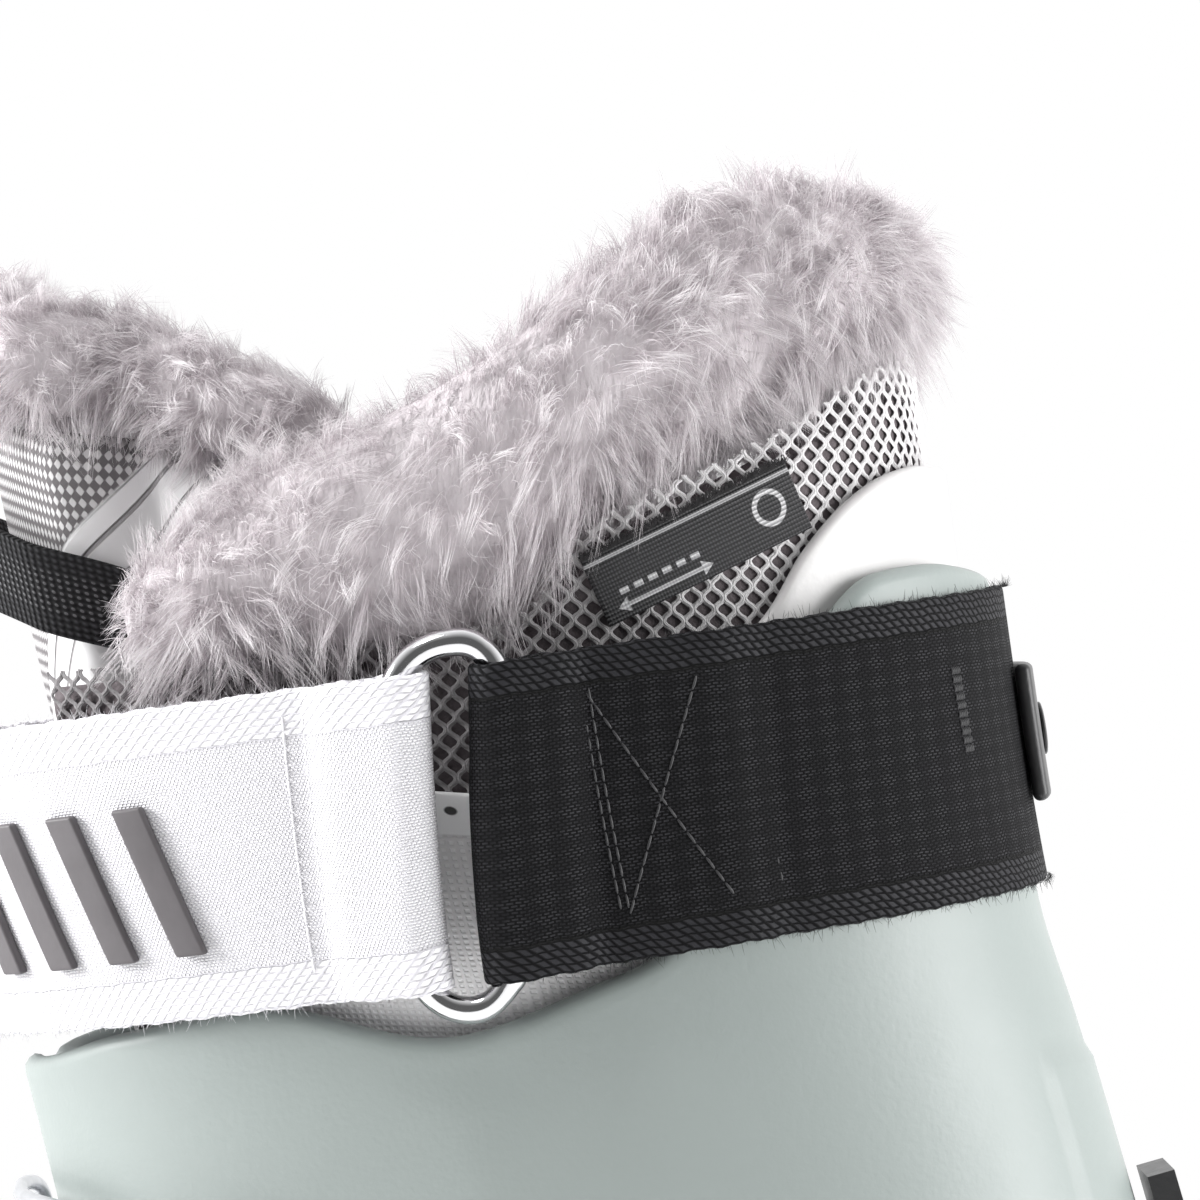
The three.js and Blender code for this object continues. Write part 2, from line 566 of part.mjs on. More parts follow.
// ---- Woven label and white side panels on the liner ----
const labelSize = [35, 10.3];
const labelTilt = degrees(25);
const labelMiddle = [14, 286.5];
add('woven_label', warp(bar([-labelSize[0] / 2, labelSize[0] / 2], [-labelSize[1] / 2, labelSize[1] / 2], [0, 0.8], 8, 2),
  (u, v, n) => {
    const y = labelMiddle[0] + u * Math.cos(labelTilt) - v * Math.sin(labelTilt);
    const z = labelMiddle[1] + u * Math.sin(labelTilt) + v * Math.cos(labelTilt);
    const middle = (legRear(z) + legFront(z)) / 2;
    const half = (legRear(z) - legFront(z)) / 2;
    const angle = Math.acos(signedPower((y - middle) / half, 1 / legPower));
    return onLeg(angle, z, linerOffset + gap + n);
  }), blackWeb);
[[1, 'outer', 128], [-1, 'inner', 112]].forEach(([side, word, reach]) => {
  add(`side_panel_${word}`, warp(bar([75, reach], [202, 247], [0, 1.2], 10, 3),
    (u, v, n) => onLeg(side * degrees(u), v + 5 * Math.cos(degrees((u - 96) * 4)) * smooth((v - 230) / 17),
      linerOffset - linerInset(side * degrees(u)) + gap + n)), whiteWeb);
});

// ---- Pull loop on the tongue's front ----
const loopRibbon = 13;
const loopStand = 13;
const loopLow = 273;
add('pull_loop', warp(new THREE.BoxGeometry(1, 1, 1, 24, 1, 1), (x, y, z) => {
  const angle = Math.PI + 2 * x * degrees(47);
  const rise = Math.cos(x * Math.PI) ** 0.8;
  return onLeg(angle, loopLow + y * loopRibbon + 16 * rise, tongueAt(angle) + 1.2 + loopStand * rise + z * 1.2);
}), blackWeb);

// ---- Buckles: base with its pin, lever, wire bail and ladder, on a surface chart (u, v, n) ----
// u runs around the boot towards the inner side, v along it, n away from it.
const pinHeight = 5.4;
const pinRadius = 1.2;
const runningGap = 0.4;
const leverHeel = 2.1;
const bailBack = -14;
const bailFront = 30;
const bailHalf = leverWidth / 2 + 4.9;
function buckle(name, chart, ladderDrop) {
  const place = (geometry) => warp(geometry, chart);
  const pinAlong = (radius, u, n, half, sides = 12) =>
    new THREE.CylinderGeometry(radius, radius, 2 * half, sides).translate(u, 0, n);
  const ear = leverWidth / 2 + 0.5;
  let base = solid(bar([-8, 8], [-ear - 1.6, ear + 1.6], [gap, 1.9], 4, 1));
  [-1, 1].forEach((side) => {
    const edges = side < 0 ? [-ear - 1.6, -ear] : [ear, ear + 1.6];
    base = base.add(solid(bar([-2.6, 2.6], edges, [1.2, pinHeight + 2], 2, 1)));
  });
  base = base.add(solid(pinAlong(pinRadius, 0, pinHeight, ear + 0.4)));
  add(`${name}_base`, place(toGeometry(base)), blackPlastic);

  const leverBar = bar([-leverLength, leverHeel], [-leverWidth / 2, leverWidth / 2], [3.3, 7.5], 10, 1);
  const lever = solid(leverBar)
    .subtract(solid(pinAlong(pinRadius + runningGap, 0, pinHeight, 20)))
    .subtract(solid(pinAlong(wireRadius + runningGap, bailBack, pinHeight, 20)));
  add(`${name}_lever`, place(toGeometry(lever)), blackPlastic);

  const bailMiddle = (bailBack + bailFront) / 2;
  const bailLong = (bailFront - bailBack) / 2;
  const bailRing = warp(new THREE.TorusGeometry(10, 1, 6, 28), (x, y, z) => {
    const around = Math.atan2(y, x);
    const out = (Math.hypot(x, y) - 10) * wireRadius;
    const across = signedPower(Math.sin(around), 0.3);
    const along = signedPower(Math.cos(around), 0.3);
    return new THREE.Vector3(bailMiddle + along * bailLong + out * along, across * bailHalf + out * across,
      pinHeight + z * wireRadius);
  });
  add(`${name}_bail`, place(bailRing), steel);

  const ladderLow = gap + 0.5 - ladderDrop;
  let ladder = solid(bar([14, 52], [-5.6, 5.6], [ladderLow, 2.8], 8, 1));
  for (let tooth = 18; tooth < 52; tooth += 8) {
    ladder = ladder.add(solid(bar([tooth - 1.3, tooth + 1.3], [-5.6, 5.6], [2, 5.2])));
  }
  add(`${name}_ladder`, place(toGeometry(ladder)), steel);
}

// Charts: arc length around a surface from the lever's pin.
function arcChart(base, start, direction, level, levelScale) {
  const table = [[0, start]];
  const step = 0.01;
  for (let i = 1; i < 160; i += 1) {
    const angle = start + direction * step * i;
    const previous = start + direction * step * (i - 1);
    table.push([table[i - 1][0] + base(angle, level).distanceTo(base(previous, level)), angle]);
  }
  const back = [[0, start]];
  for (let i = 1; i < 160; i += 1) {
    const angle = start - direction * step * i;
    const previous = start - direction * step * (i - 1);
    back.push([back[i - 1][0] + base(angle, level).distanceTo(base(previous, level)), angle]);
  }
  const angleFor = (u) => {
    const list = u < 0 ? back : table;
    const reach = Math.abs(u);
    const i = Math.max(list.findIndex((row) => row[0] > reach), 1);
    return mix(list[i - 1][1], list[i][1], (reach - list[i - 1][0]) / (list[i][0] - list[i - 1][0]));
  };
  return (u, v, n) => {
    const { point, normal } = surfaceFrame(base, angleFor(u), level + v * levelScale, 0.02, 1);
    const outward = normal.z < -0.5 ? normal.negate() : normal;
    return point.addScaledVector(outward, n);
  };
}
const cuffBuckleStart = degrees(163);
buckle('buckle_cuff_upper', arcChart(legBase, cuffBuckleStart, 1, 182, 1), lapDrop);
buckle('buckle_cuff_lower', arcChart(legBase, cuffBuckleStart - degrees(1), 1, 155, 1), lapDrop);
const instepSurface = (angle, y) => instepBase(-angle, y);
const instepLevel = -96 - 0.25 * longer;
const toeLevel = -134 - 0.6 * longer;
const lifted = (chart, lift) => (u, v, n) => chart(u, v, n + lift);
buckle('buckle_instep', lifted(arcChart(instepSurface, degrees(-20), 1, instepLevel, -1), 0.5), 0);
buckle('buckle_toe', lifted(arcChart(instepSurface, degrees(-20), 1, toeLevel, -1), 0.5), 0);

// ---- Walk lever on the cuff's spine: a curved plate with two ears, a straight pin and the lever ----
const onBack = (u, v, n) => onLeg(u / 45, v, n);
const onSpineLine = (x, v, n) => onLeg(0, v, n).setX(x);
const walkPinZ = 138;
const walkPinN = 5;
const walkTop = 192;
const walkHalf = 8.7;
const walkEar = 2;
const walkPlate = warp(bar([-9, 9], [130, walkTop - 6], [gap, 1.8], 6, 3), onBack);
let walkBase = solid(walkPlate);
[-1, 1].forEach((side) => {
  const edges = [walkHalf + gap, walkHalf + gap + walkEar].map((edge) => side * edge).sort((a, b) => a - b);
  walkBase = walkBase.add(solid(warp(bar(edges, [walkPinZ - 3, walkPinZ + 3], [0, walkPinN + 2]), onSpineLine)));
});
const walkAxle = (radius, half) => new THREE.CylinderGeometry(radius, radius, 2 * half, 12)
  .rotateZ(Math.PI / 2).translate(0, walkPinZ, walkPinN);
walkBase = walkBase.add(solid(warp(walkAxle(pinRadius, walkHalf + gap + walkEar / 2), onSpineLine)));
add('walk_base', toGeometry(walkBase), blackPlastic);
const walkBar = solid(bar([-walkHalf, walkHalf], [walkPinZ - 2, walkTop], [walkPinN - 2, walkPinN + 2.2], 1, 6));
const walkLever = walkBar.subtract(solid(walkAxle(pinRadius + runningGap, 2 * walkHalf)));
add('walk_lever', warp(toGeometry(walkLever), onSpineLine), blackPlastic);

export default group;
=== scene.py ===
# A left alpine ski boot with a fur-lined knit liner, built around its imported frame, in metres.
import math

import bpy
import numpy as np
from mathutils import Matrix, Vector


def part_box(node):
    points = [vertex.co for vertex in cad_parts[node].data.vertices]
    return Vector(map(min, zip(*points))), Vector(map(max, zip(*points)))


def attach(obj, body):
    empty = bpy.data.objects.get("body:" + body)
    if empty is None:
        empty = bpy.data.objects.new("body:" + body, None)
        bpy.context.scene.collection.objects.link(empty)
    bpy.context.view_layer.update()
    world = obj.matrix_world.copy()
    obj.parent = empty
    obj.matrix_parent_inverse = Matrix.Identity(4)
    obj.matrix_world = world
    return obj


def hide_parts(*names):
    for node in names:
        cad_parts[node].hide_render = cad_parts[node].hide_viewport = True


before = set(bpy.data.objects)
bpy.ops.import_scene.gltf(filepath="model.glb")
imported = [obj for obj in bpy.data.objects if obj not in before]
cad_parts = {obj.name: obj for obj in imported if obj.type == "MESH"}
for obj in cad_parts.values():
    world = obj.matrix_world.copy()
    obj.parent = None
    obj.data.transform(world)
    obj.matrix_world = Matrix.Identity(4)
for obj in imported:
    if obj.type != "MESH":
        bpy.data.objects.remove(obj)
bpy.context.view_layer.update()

# ---------------------------------------------------------------------------------------------
# The studio. A pale floor, a bright white surround that falls off on the camera's side, one soft
# key from the front above, and the camera level with the collar on the boot's outer side.
# ---------------------------------------------------------------------------------------------
MM = 0.001
strap_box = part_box("strap_rear_web")
camera_height = strap_box[1][2] - 2.2 * MM
camera_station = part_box("strap_plate")[1][1] - 68.3 * MM
camera_distance = 0.83
view_width = 0.182
camera = bpy.data.objects.new("camera", bpy.data.cameras.new("camera"))
camera.location = (camera_distance, camera_station, camera_height)
camera.rotation_euler = (math.pi / 2, 0, math.pi / 2)
camera.data.lens = camera.data.sensor_width * camera_distance / view_width
camera.data.clip_start = 0.02
bpy.context.scene.collection.objects.link(camera)
bpy.context.scene.camera = camera
bpy.context.scene.view_settings.view_transform = "Standard"


class Num:
    """A number in a material's node tree, so that shader maths reads as Python."""

    def __init__(self, finish, socket):
        self.finish = finish
        self.socket = socket

    def math(self, operation, *others):
        node = self.finish.node("ShaderNodeMath", {"operation": operation}, dict(enumerate((self, *others))))
        return Num(self.finish, node.outputs[0])

    def __add__(self, other):
        return self.math("ADD", other)

    def __radd__(self, other):
        return self.math("ADD", other)

    def __sub__(self, other):
        return self.math("SUBTRACT", other)

    def __rsub__(self, other):
        return Num(self.finish, self.finish.number(other)).math("SUBTRACT", self)

    def __mul__(self, other):
        return self.math("MULTIPLY", other)

    def __rmul__(self, other):
        return self.math("MULTIPLY", other)

    def __truediv__(self, other):
        return self.math("DIVIDE", other)

    def wave(self):
        return self.math("SINE")

    def size(self):
        return self.math("ABSOLUTE")

    def remainder(self):
        return self.math("FRACT")

    def above(self, edge):
        return self.math("GREATER_THAN", edge)

    def most(self, other):
        return self.math("MAXIMUM", other)

    def between(self, low, high):
        """0 below low and 1 above high, with a soft step between."""
        node = self.finish.node("ShaderNodeMapRange", {"interpolation_type": "SMOOTHSTEP"},
                                {"Value": self, "From Min": low, "From Max": high})
        return Num(self.finish, node.outputs[0])

    def pulse(self, rise, full, fall, gone):
        return self.between(rise, full) - self.between(fall, gone)


class Finish:
    """A material under construction: a Principled shader, and what feeds it."""

    def __init__(self, name, **shader):
        self.material = bpy.data.materials.new(name)
        self.material.use_nodes = True
        self.tree = self.material.node_tree
        self.shader = self.tree.nodes["Principled BSDF"]
        self.set(**shader)

    def node(self, kind, settings=None, sockets=None):
        node = self.tree.nodes.new(kind)
        for key, value in (settings or {}).items():
            setattr(node, key, value)
        for key, value in (sockets or {}).items():
            self.feed(node.inputs[key], value)
        return node

    def feed(self, socket, value):
        if isinstance(value, Num):
            value = value.socket
        if isinstance(value, bpy.types.NodeSocket):
            self.tree.links.new(value, socket)
        else:
            socket.default_value = value

    def number(self, value):
        node = self.node("ShaderNodeValue")
        node.outputs[0].default_value = value
        return node.outputs[0]

    def set(self, **shader):
        for key, value in shader.items():
            self.feed(self.shader.inputs[key.replace("_", " ")], value)

    def flat(self):
        split = self.node("ShaderNodeSeparateXYZ", None,
                          {0: self.node("ShaderNodeUVMap", {"uv_map": "flat"}).outputs[0]})
        return Num(self, split.outputs[0]), Num(self, split.outputs[1])

    def tone(self):
        return Num(self, self.node("ShaderNodeAttribute", {"attribute_name": "tone"}).outputs["Fac"])

    def noise(self, scale, detail=3.0, stretch=None):
        at = self.node("ShaderNodeNewGeometry").outputs["Position"]
        if stretch:
            at = self.node("ShaderNodeVectorMath", {"operation": "MULTIPLY"}, {0: at, 1: stretch}).outputs[0]
        node = self.node("ShaderNodeTexNoise", None,
                         {"Vector": at, "Scale": scale, "Detail": detail, "Roughness": 0.5})
        return Num(self, node.outputs["Fac"])

    def mix(self, share, first, second):
        first, second = ((*colour, 1) if isinstance(colour, tuple) else colour for colour in (first, second))
        return self.node("ShaderNodeMix", {"data_type": "RGBA"}, {0: share, 6: first, 7: second}).outputs[2]

    def paint(self, share, first, second):
        self.set(Base_Color=self.mix(share, first, second))

    def bump(self, height, distance):
        node = self.node("ShaderNodeBump", None, {"Height": height, "Distance": distance, "Strength": 1.0})
        self.tree.links.new(node.outputs[0], self.shader.inputs["Normal"])


floor_finish = Finish("pale_floor", Roughness=0.7)
floor_finish.paint(floor_finish.noise(3.0), (0.85, 0.85, 0.85), (0.88, 0.88, 0.88))
floor_half, floor_drop = 1.1, 0.2 * MM
floor_mesh = bpy.data.meshes.new("floor")
floor_turns = [i / 64 * math.tau for i in range(64)]
floor_rim = [(floor_half * math.cos(a), floor_half * math.sin(a), -floor_drop) for a in floor_turns]
floor_mesh.from_pydata(floor_rim, [], [list(range(64))])
floor_mesh.materials.append(floor_finish.material)
floor = bpy.data.objects.new("floor", floor_mesh)
bpy.context.scene.collection.objects.link(floor)

world = bpy.data.worlds.new("studio")
world.use_nodes = True
bpy.context.scene.world = world
sky = world.node_tree
background = sky.nodes["Background"]
direction = sky.nodes.new("ShaderNodeTexCoord").outputs["Generated"]
split = sky.nodes.new("ShaderNodeSeparateXYZ")
sky.links.new(direction, split.inputs[0])
fall = sky.nodes.new("ShaderNodeMapRange")
for name, value in {"From Min": -0.1, "From Max": 0.8, "To Min": 1.45, "To Max": 0.16}.items():
    fall.inputs[name].default_value = value
sky.links.new(split.outputs[0], fall.inputs["Value"])
seen = sky.nodes.new("ShaderNodeLightPath")
choose = sky.nodes.new("ShaderNodeMix")
choose.inputs[3].default_value = 1.0
sky.links.new(seen.outputs["Is Camera Ray"], choose.inputs[0])
sky.links.new(fall.outputs[0], choose.inputs[2])
sky.links.new(choose.outputs[0], background.inputs["Strength"])
background.inputs["Color"].default_value = (1, 1, 1, 1)


def soft_light(name, place, aim, width, power):
    lamp = bpy.data.lights.new(name, "AREA")
    lamp.shape = "RECTANGLE"
    lamp.size = lamp.size_y = width
    lamp.energy = power
    light = bpy.data.objects.new(name, lamp)
    light.location = place
    light.rotation_euler = (Vector(aim) - Vector(place)).to_track_quat("-Z", "Y").to_euler()
    bpy.context.scene.collection.objects.link(light)


soft_light("key", (0.35, -0.45, 1.15), (0, 0, 0.25), 0.3, 5.5)
soft_light("rear_fill", (0.26, 1.0, 0.35), (0, 0, 0.2), 0.6, 11.5)
soft_light("front_fill", (0.14, -1.0, 0.52), (0, 0, 0.25), 0.4, 15.0)

# ---------------------------------------------------------------------------------------------
# The cuff. Mint polyurethane, injection moulded in one wrap: a thick rounded rim, a high spine at
# the calf, and an outer flap that laps over an inner flap at the shin. Its outside is the leg
# surface, which the liner, straps and buckles are laid on too.
# ---------------------------------------------------------------------------------------------


def stations(*points):
    """A smooth curve through (at, value) points that never overshoots them."""
    at, value = (np.array(column, float) for column in zip(*points))
    step = np.diff(at)
    slope = np.diff(value) / step
    tangent = np.concatenate([slope[:1], np.zeros(len(at) - 2), slope[-1:]])
    product = slope[:-1] * slope[1:]
    total = np.where(slope[:-1] + slope[1:] == 0, 1, slope[:-1] + slope[1:])
    tangent[1:-1] = np.where(product > 0, 2 * product / total, 0)

    def curve(x):
        x = np.asarray(x, float)
        i = np.clip(np.searchsorted(at, x, side="right") - 1, 0, len(step) - 1)
        t = (x - at[i]) / step[i]
        s = np.clip(t, 0, 1)
        u = 1 - s
        inside = (value[i] * (1 + 2 * s) * u * u + value[i + 1] * s * s * (3 - 2 * s)
                  + step[i] * tangent[i] * s * u * u - step[i] * tangent[i + 1] * s * s * u)
        before = np.where(t < 0, tangent[i] * t * step[i], 0)
        return inside + np.where(t > 1, tangent[i + 1] * (t - 1) * step[i], before)
    return curve


def smooth(t):
    s = np.clip(t, 0, 1)
    return s * s * (3 - 2 * s)


def mix(a, b, t):
    return a + (b - a) * t


def signed_power(value, power):
    return np.sign(value) * np.abs(value) ** power


leg_rear = stations((80, 94), (110, 95), (150, 88), (194, 76), (216, 69.5), (235, 63.5), (282, 56), (345, 48))
leg_front = stations((80, -50), (130, -69), (206, -88.8), (260, -103), (345, -122))
leg_half = stations((80, 47), (110, 48.5), (180, 52), (250, 57), (345, 60))
LEG_POWER = 2 / 2.25


def leg_base(angle, z):
    rear, front = leg_rear(z), leg_front(z)
    x = leg_half(z) * signed_power(np.sin(angle), LEG_POWER)
    y = (rear + front) / 2 + (rear - front) / 2 * signed_power(np.cos(angle), LEG_POWER)
    return np.stack(np.broadcast_arrays(x, y, z), -1)


def unit(vectors):
    return vectors / np.maximum(np.linalg.norm(vectors, axis=-1, keepdims=True), 1e-9)


def leg_normal(angle, z):
    around = leg_base(angle + 0.02, z) - leg_base(angle - 0.02, z)
    up = leg_base(angle, z + 1.0) - leg_base(angle, z - 1.0)
    return unit(np.cross(up, around))


def on_leg(angle, z, offset):
    """Points in millimetres at an angle (0 heel, 90 degrees outer side), a height and an offset outwards."""
    angle, z, offset = np.broadcast_arrays(*(np.asarray(value, float) for value in (angle, z, offset)))
    return leg_base(angle, z) + leg_normal(angle, z) * offset[..., None]


def add_piece(name, points, faces, finish, body, slot, smooth_faces=True, flat=None, tone=None):
    """A mesh piece from millimetre points, riding on a body, with its maps for weave and tone; the tone map
    also carries painted shade on the yarn, binding and hair.
    """
    mesh = bpy.data.meshes.new(name)
    mesh.from_pydata((np.asarray(points) * MM).tolist(), [], [tuple(f) for f in faces])
    if flat is not None:
        layer = mesh.uv_layers.new(name="flat")
        corner = np.empty(len(mesh.loops), dtype=np.int32)
        mesh.loops.foreach_get("vertex_index", corner)
        layer.uv.foreach_set("vector", np.asarray(flat, np.float32)[corner].ravel())
    if tone is not None:
        mesh.attributes.new("tone", "FLOAT", "POINT").data.foreach_set("value", np.asarray(tone, np.float32))
    mesh.validate()
    if smooth_faces:
        mesh.shade_smooth()
    mesh.materials.append(finish.material)
    piece = bpy.data.objects.new(name, mesh)
    bpy.context.scene.collection.objects.link(piece)
    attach(piece, body)
    return piece


def grid_faces(rows, columns, closed_rows=False, closed_columns=False):
    faces = []
    for i in range(rows if closed_rows else rows - 1):
        for j in range(columns if closed_columns else columns - 1):
            a, b = i * columns + j, i * columns + (j + 1) % columns
            c, d = ((i + 1) % rows) * columns + (j + 1) % columns, ((i + 1) % rows) * columns + j
            faces.append((a, b, c, d))
    return faces


def wall(angles, low, high, outside, thickness, rows=40, rim=6, end_taper=2):
    """A moulded or padded wall on the leg: rounded rims above and below, and closed rounded ends."""
    angles = np.asarray(angles, float)
    count = len(angles)
    loops = []
    half = thickness / 2
    turns = np.linspace(0, math.pi, rim + 1)
    for i, angle in enumerate(angles):
        inset = min(i, count - 1 - i)
        short = max(end_taper - inset, 0) / (end_taper + 0.35)
        squeeze = math.sqrt(1 - short ** 2)
        z0, z1 = low(angle) + half, high(angle) - half
        span = np.linspace(z0, z1, rows)
        top = half * np.sin(turns[1:-1])
        side = half * np.cos(turns[1:-1])
        heights = np.concatenate([span, z1 + top, span[::-1], z0 - top])
        across = np.concatenate([np.full(rows, half), side, np.full(rows, -half), -side]) * squeeze
        middle = outside(angle, heights) - half
        loops.append(on_leg(angle, heights, middle + across))
    points = np.concatenate(loops)
    size = len(loops[0])
    faces = grid_faces(count, size, closed_columns=True)
    faces += [tuple(range(size))[::-1], tuple(range((count - 1) * size, count * size))]
    faces = [f[::-1] for f in faces]
    return points, faces


def edge_height(line, angles):
    """The height at which a side profile, a height for each station y, meets the leg surface."""
    low, high = np.full_like(angles, 60.0), np.full_like(angles, 360.0)
    for _ in range(50):
        middle = (low + high) / 2
        under = middle < line(leg_base(angles, middle)[..., 1])
        low = np.where(under, middle, low)
        high = np.where(under, high, middle)
    return (low + high) / 2


def lookup(angles, values):
    return lambda angle: np.interp(angle, angles, values)


CUFF_WALL = 4.0
CUFF_REAR_TOP, CUFF_FRONT_TOP = 285.0, 217.0
LAP_DROP = CUFF_WALL + 0.7
cuff_top_line = stations((-130, CUFF_FRONT_TOP - 12), (-88, CUFF_FRONT_TOP - 6), (-74, CUFF_FRONT_TOP - 1),
                         (-50, CUFF_FRONT_TOP + 4), (-26.6, CUFF_FRONT_TOP), (-2.7, CUFF_FRONT_TOP + 8),
                         (7, CUFF_FRONT_TOP + 13), (20, CUFF_REAR_TOP - 30), (30, CUFF_REAR_TOP - 9),
                         (38, CUFF_REAR_TOP - 1.5), (48, CUFF_REAR_TOP), (62, CUFF_REAR_TOP - 3))
cuff_bottom_line = stations((-90, 143), (-60, 140), (-20, 108), (10, 90), (35, 86), (60, 86), (100, 88))


def lap_inset(angle):
    return LAP_DROP * smooth((math.radians(-118) - angle) / math.radians(20))


mint = Finish("mint_polyurethane", Specular_IOR_Level=0.5)
mint.paint(mint.noise(14.0, 4.0), (0.240, 0.273, 0.263), (0.260, 0.293, 0.282))
mint.set(Roughness=0.42 + 0.08 * mint.noise(160.0, 5.0))
mint.bump(mint.noise(900.0, 2.0) * 0.6 + mint.noise(60.0, 2.0), 0.00008)
cuff_angles = np.radians(np.linspace(-202, 176, 260))
cuff_high = lookup(cuff_angles, edge_height(cuff_top_line, cuff_angles))
cuff_low = lookup(cuff_angles, edge_height(cuff_bottom_line, cuff_angles))


def cuff_outside(angle, z):
    crease = 0.5 * np.exp(-((np.degrees(angle) - 97) / 5.0) ** 2)
    crease = crease * smooth((214 - z) / 8) * smooth((z - 150) / 30)
    step = 0.7 * smooth((np.abs(np.degrees(angle)) < 28) * (213 - z) / 2.5)
    return -lap_inset(angle) + crease + step


cuff_wall = wall(cuff_angles, cuff_low, cuff_high, cuff_outside, CUFF_WALL, rows=90)
cuff = add_piece("cuff_shell", *cuff_wall, mint, "cuff", "mint_plastic")
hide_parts("cuff")

# ---------------------------------------------------------------------------------------------
# The lower shell. The same mint polyurethane as a clog around the foot, slit over the instep so
# that the buckles can draw it together, and open at the ankle inside the cuff.
# ---------------------------------------------------------------------------------------------
HEEL_BACK, SOLE_LENGTH = 95.0, 287.0
TOE_START = HEEL_BACK - SOLE_LENGTH + 4
foot_rear = stations((12, HEEL_BACK - 6), (40, HEEL_BACK - 1.5), (80, HEEL_BACK - 5), (110, HEEL_BACK - 6.8),
                     (130, HEEL_BACK - 12), (150, HEEL_BACK - 19))
foot_front = stations((12, TOE_START), (36, TOE_START - 3), (56, TOE_START + 5), (68, TOE_START + 24),
                      (78, TOE_START + 52), (92, -106), (112, -80), (132, -62), (150, -56))
heel_half = stations((12, 36), (50, 41), (110, 42.2), (150, 44))
ball_half = stations((12, 45), (36, 50), (60, 47), (80, 39), (98, 29), (126, 28), (150, 37))
FOOT_POWER = 2.5


def foot_half(y, z, inset=0.0):
    rear, front = foot_rear(z) - inset, foot_front(z + inset * 0.8) + inset
    across = np.clip(np.abs((y - (rear + front) / 2) / ((rear - front) / 2)), 0, 1)
    width = mix(heel_half(z), ball_half(z), smooth((45 - y) / 130)) - inset
    return width * (1 - across ** FOOT_POWER) ** (1 / FOOT_POWER)


def foot_outline(angle, z, inset=0.0):
    rear, front = foot_rear(z) - inset, foot_front(z + inset * 0.8) + inset
    y = (rear + front) / 2 + (rear - front) / 2 * signed_power(np.cos(angle), 2 / FOOT_POWER)
    return np.stack(np.broadcast_arrays(foot_half(y, z, inset) * np.sign(np.sin(angle)), y, z), -1)


SHELL_TOP, SHELL_WALL, SHELL_FLOOR = 150.0, 4.5, 12.4
foot_angles = np.linspace(0, math.tau, 200, endpoint=False) + 0.01
outer_levels = np.concatenate([SHELL_FLOOR + 2.2 * (1 - np.cos(np.linspace(0, 1.2, 5))),
                               np.linspace(15, SHELL_TOP - 2.4, 60)])
rim_turns = np.linspace(0, math.pi, 8)[1:-1]
inner_levels = np.linspace(SHELL_TOP - 2.4, SHELL_FLOOR + SHELL_WALL, 40)
shell_levels = np.concatenate([outer_levels, SHELL_TOP - 2.4 + 2.2 * np.sin(rim_turns), inner_levels])
shell_insets = np.concatenate([2.0 * (1 - np.sin(np.linspace(0, math.pi / 2, 5))), np.zeros(60),
                               (1 - np.cos(rim_turns)) * SHELL_WALL / 2, np.full(40, SHELL_WALL)])
shell_rings = [foot_outline(foot_angles, z, inset) for z, inset in zip(shell_levels, shell_insets)]
shell_points = np.concatenate(shell_rings)
shell_faces = grid_faces(len(shell_rings), len(foot_angles), closed_columns=True)
shell_faces += [tuple(range(len(foot_angles)))[::-1],
                tuple(range(len(shell_points) - len(foot_angles), len(shell_points)))]
shell = add_piece("lower_shell_clog", shell_points, shell_faces, mint, "shell", "mint_plastic")
slit = bpy.data.meshes.new("slit")
slit.from_pydata([(x * MM, y * MM, z * MM) for x in (-7.6, -6.0) for y in (-128, -20) for z in (70, 170)], [],
                 [(0, 1, 3, 2), (4, 6, 7, 5), (0, 4, 5, 1), (2, 3, 7, 6), (0, 2, 6, 4), (1, 5, 7, 3)])
slit_tool = bpy.data.objects.new("slit", slit)
bpy.context.scene.collection.objects.link(slit_tool)
cut = shell.modifiers.new("slit", "BOOLEAN")
cut.object = slit_tool
cut.solver = "EXACT"
evaluated = shell.evaluated_get(bpy.context.evaluated_depsgraph_get())
shell.data = bpy.data.meshes.new_from_object(evaluated)
shell.modifiers.clear()
bpy.data.objects.remove(slit_tool)
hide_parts("lower_shell")

# ---------------------------------------------------------------------------------------------
# The rear spoiler. A bright white blade of satin plastic behind the calf, held between the
# cuff's spine and the liner, with a rounded upper corner on each side.
# ---------------------------------------------------------------------------------------------
SPOILER_TOP = CUFF_REAR_TOP + 15
spoiler_line = stations((10, CUFF_REAR_TOP - 20), (23.7, CUFF_REAR_TOP - 7), (29.6, CUFF_REAR_TOP + 2),
                        (37, CUFF_REAR_TOP + 9.5), (43.6, SPOILER_TOP - 1.5), (49.6, SPOILER_TOP),
                        (90, SPOILER_TOP - 1))
white_plastic = Finish("white_plastic", Roughness=0.42, Specular_IOR_Level=0.45)
white_plastic.paint(white_plastic.noise(30.0), (0.56, 0.552, 0.55), (0.62, 0.612, 0.61))
white_plastic.bump(white_plastic.noise(700.0, 2.0), 0.00005)
spoiler_angles = np.radians(np.linspace(-72, 72, 100))
spoiler_high = lookup(spoiler_angles, edge_height(spoiler_line, spoiler_angles))
spoiler_wall = wall(spoiler_angles, lambda a: 205.0, spoiler_high, lambda a, z: -4.4 + 0 * z, 2.4, rows=50)
spoiler = add_piece("rear_spoiler", *spoiler_wall, white_plastic, "cuff", "white_plastic")
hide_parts("spoiler")

# ---------------------------------------------------------------------------------------------
# The liner's cuff. A padded wall with a dark backing, and over it an open net of pale paired
# yarns that zigzag up the leg and touch their neighbours, so dark diamonds show between them.
# ---------------------------------------------------------------------------------------------
LINER_OFFSET, LINER_WALL = -7.5, 7.0
LINER_OPEN = math.radians(143)
collar_line = stations((-110, 262), (-80, 266), (-15, 274), (-3, 287), (24, 300), (50, 314), (70, 318))
liner_split = stations((-110, 162), (-45, 161), (-26, 159), (-12, 143), (35, 126), (120, 104))


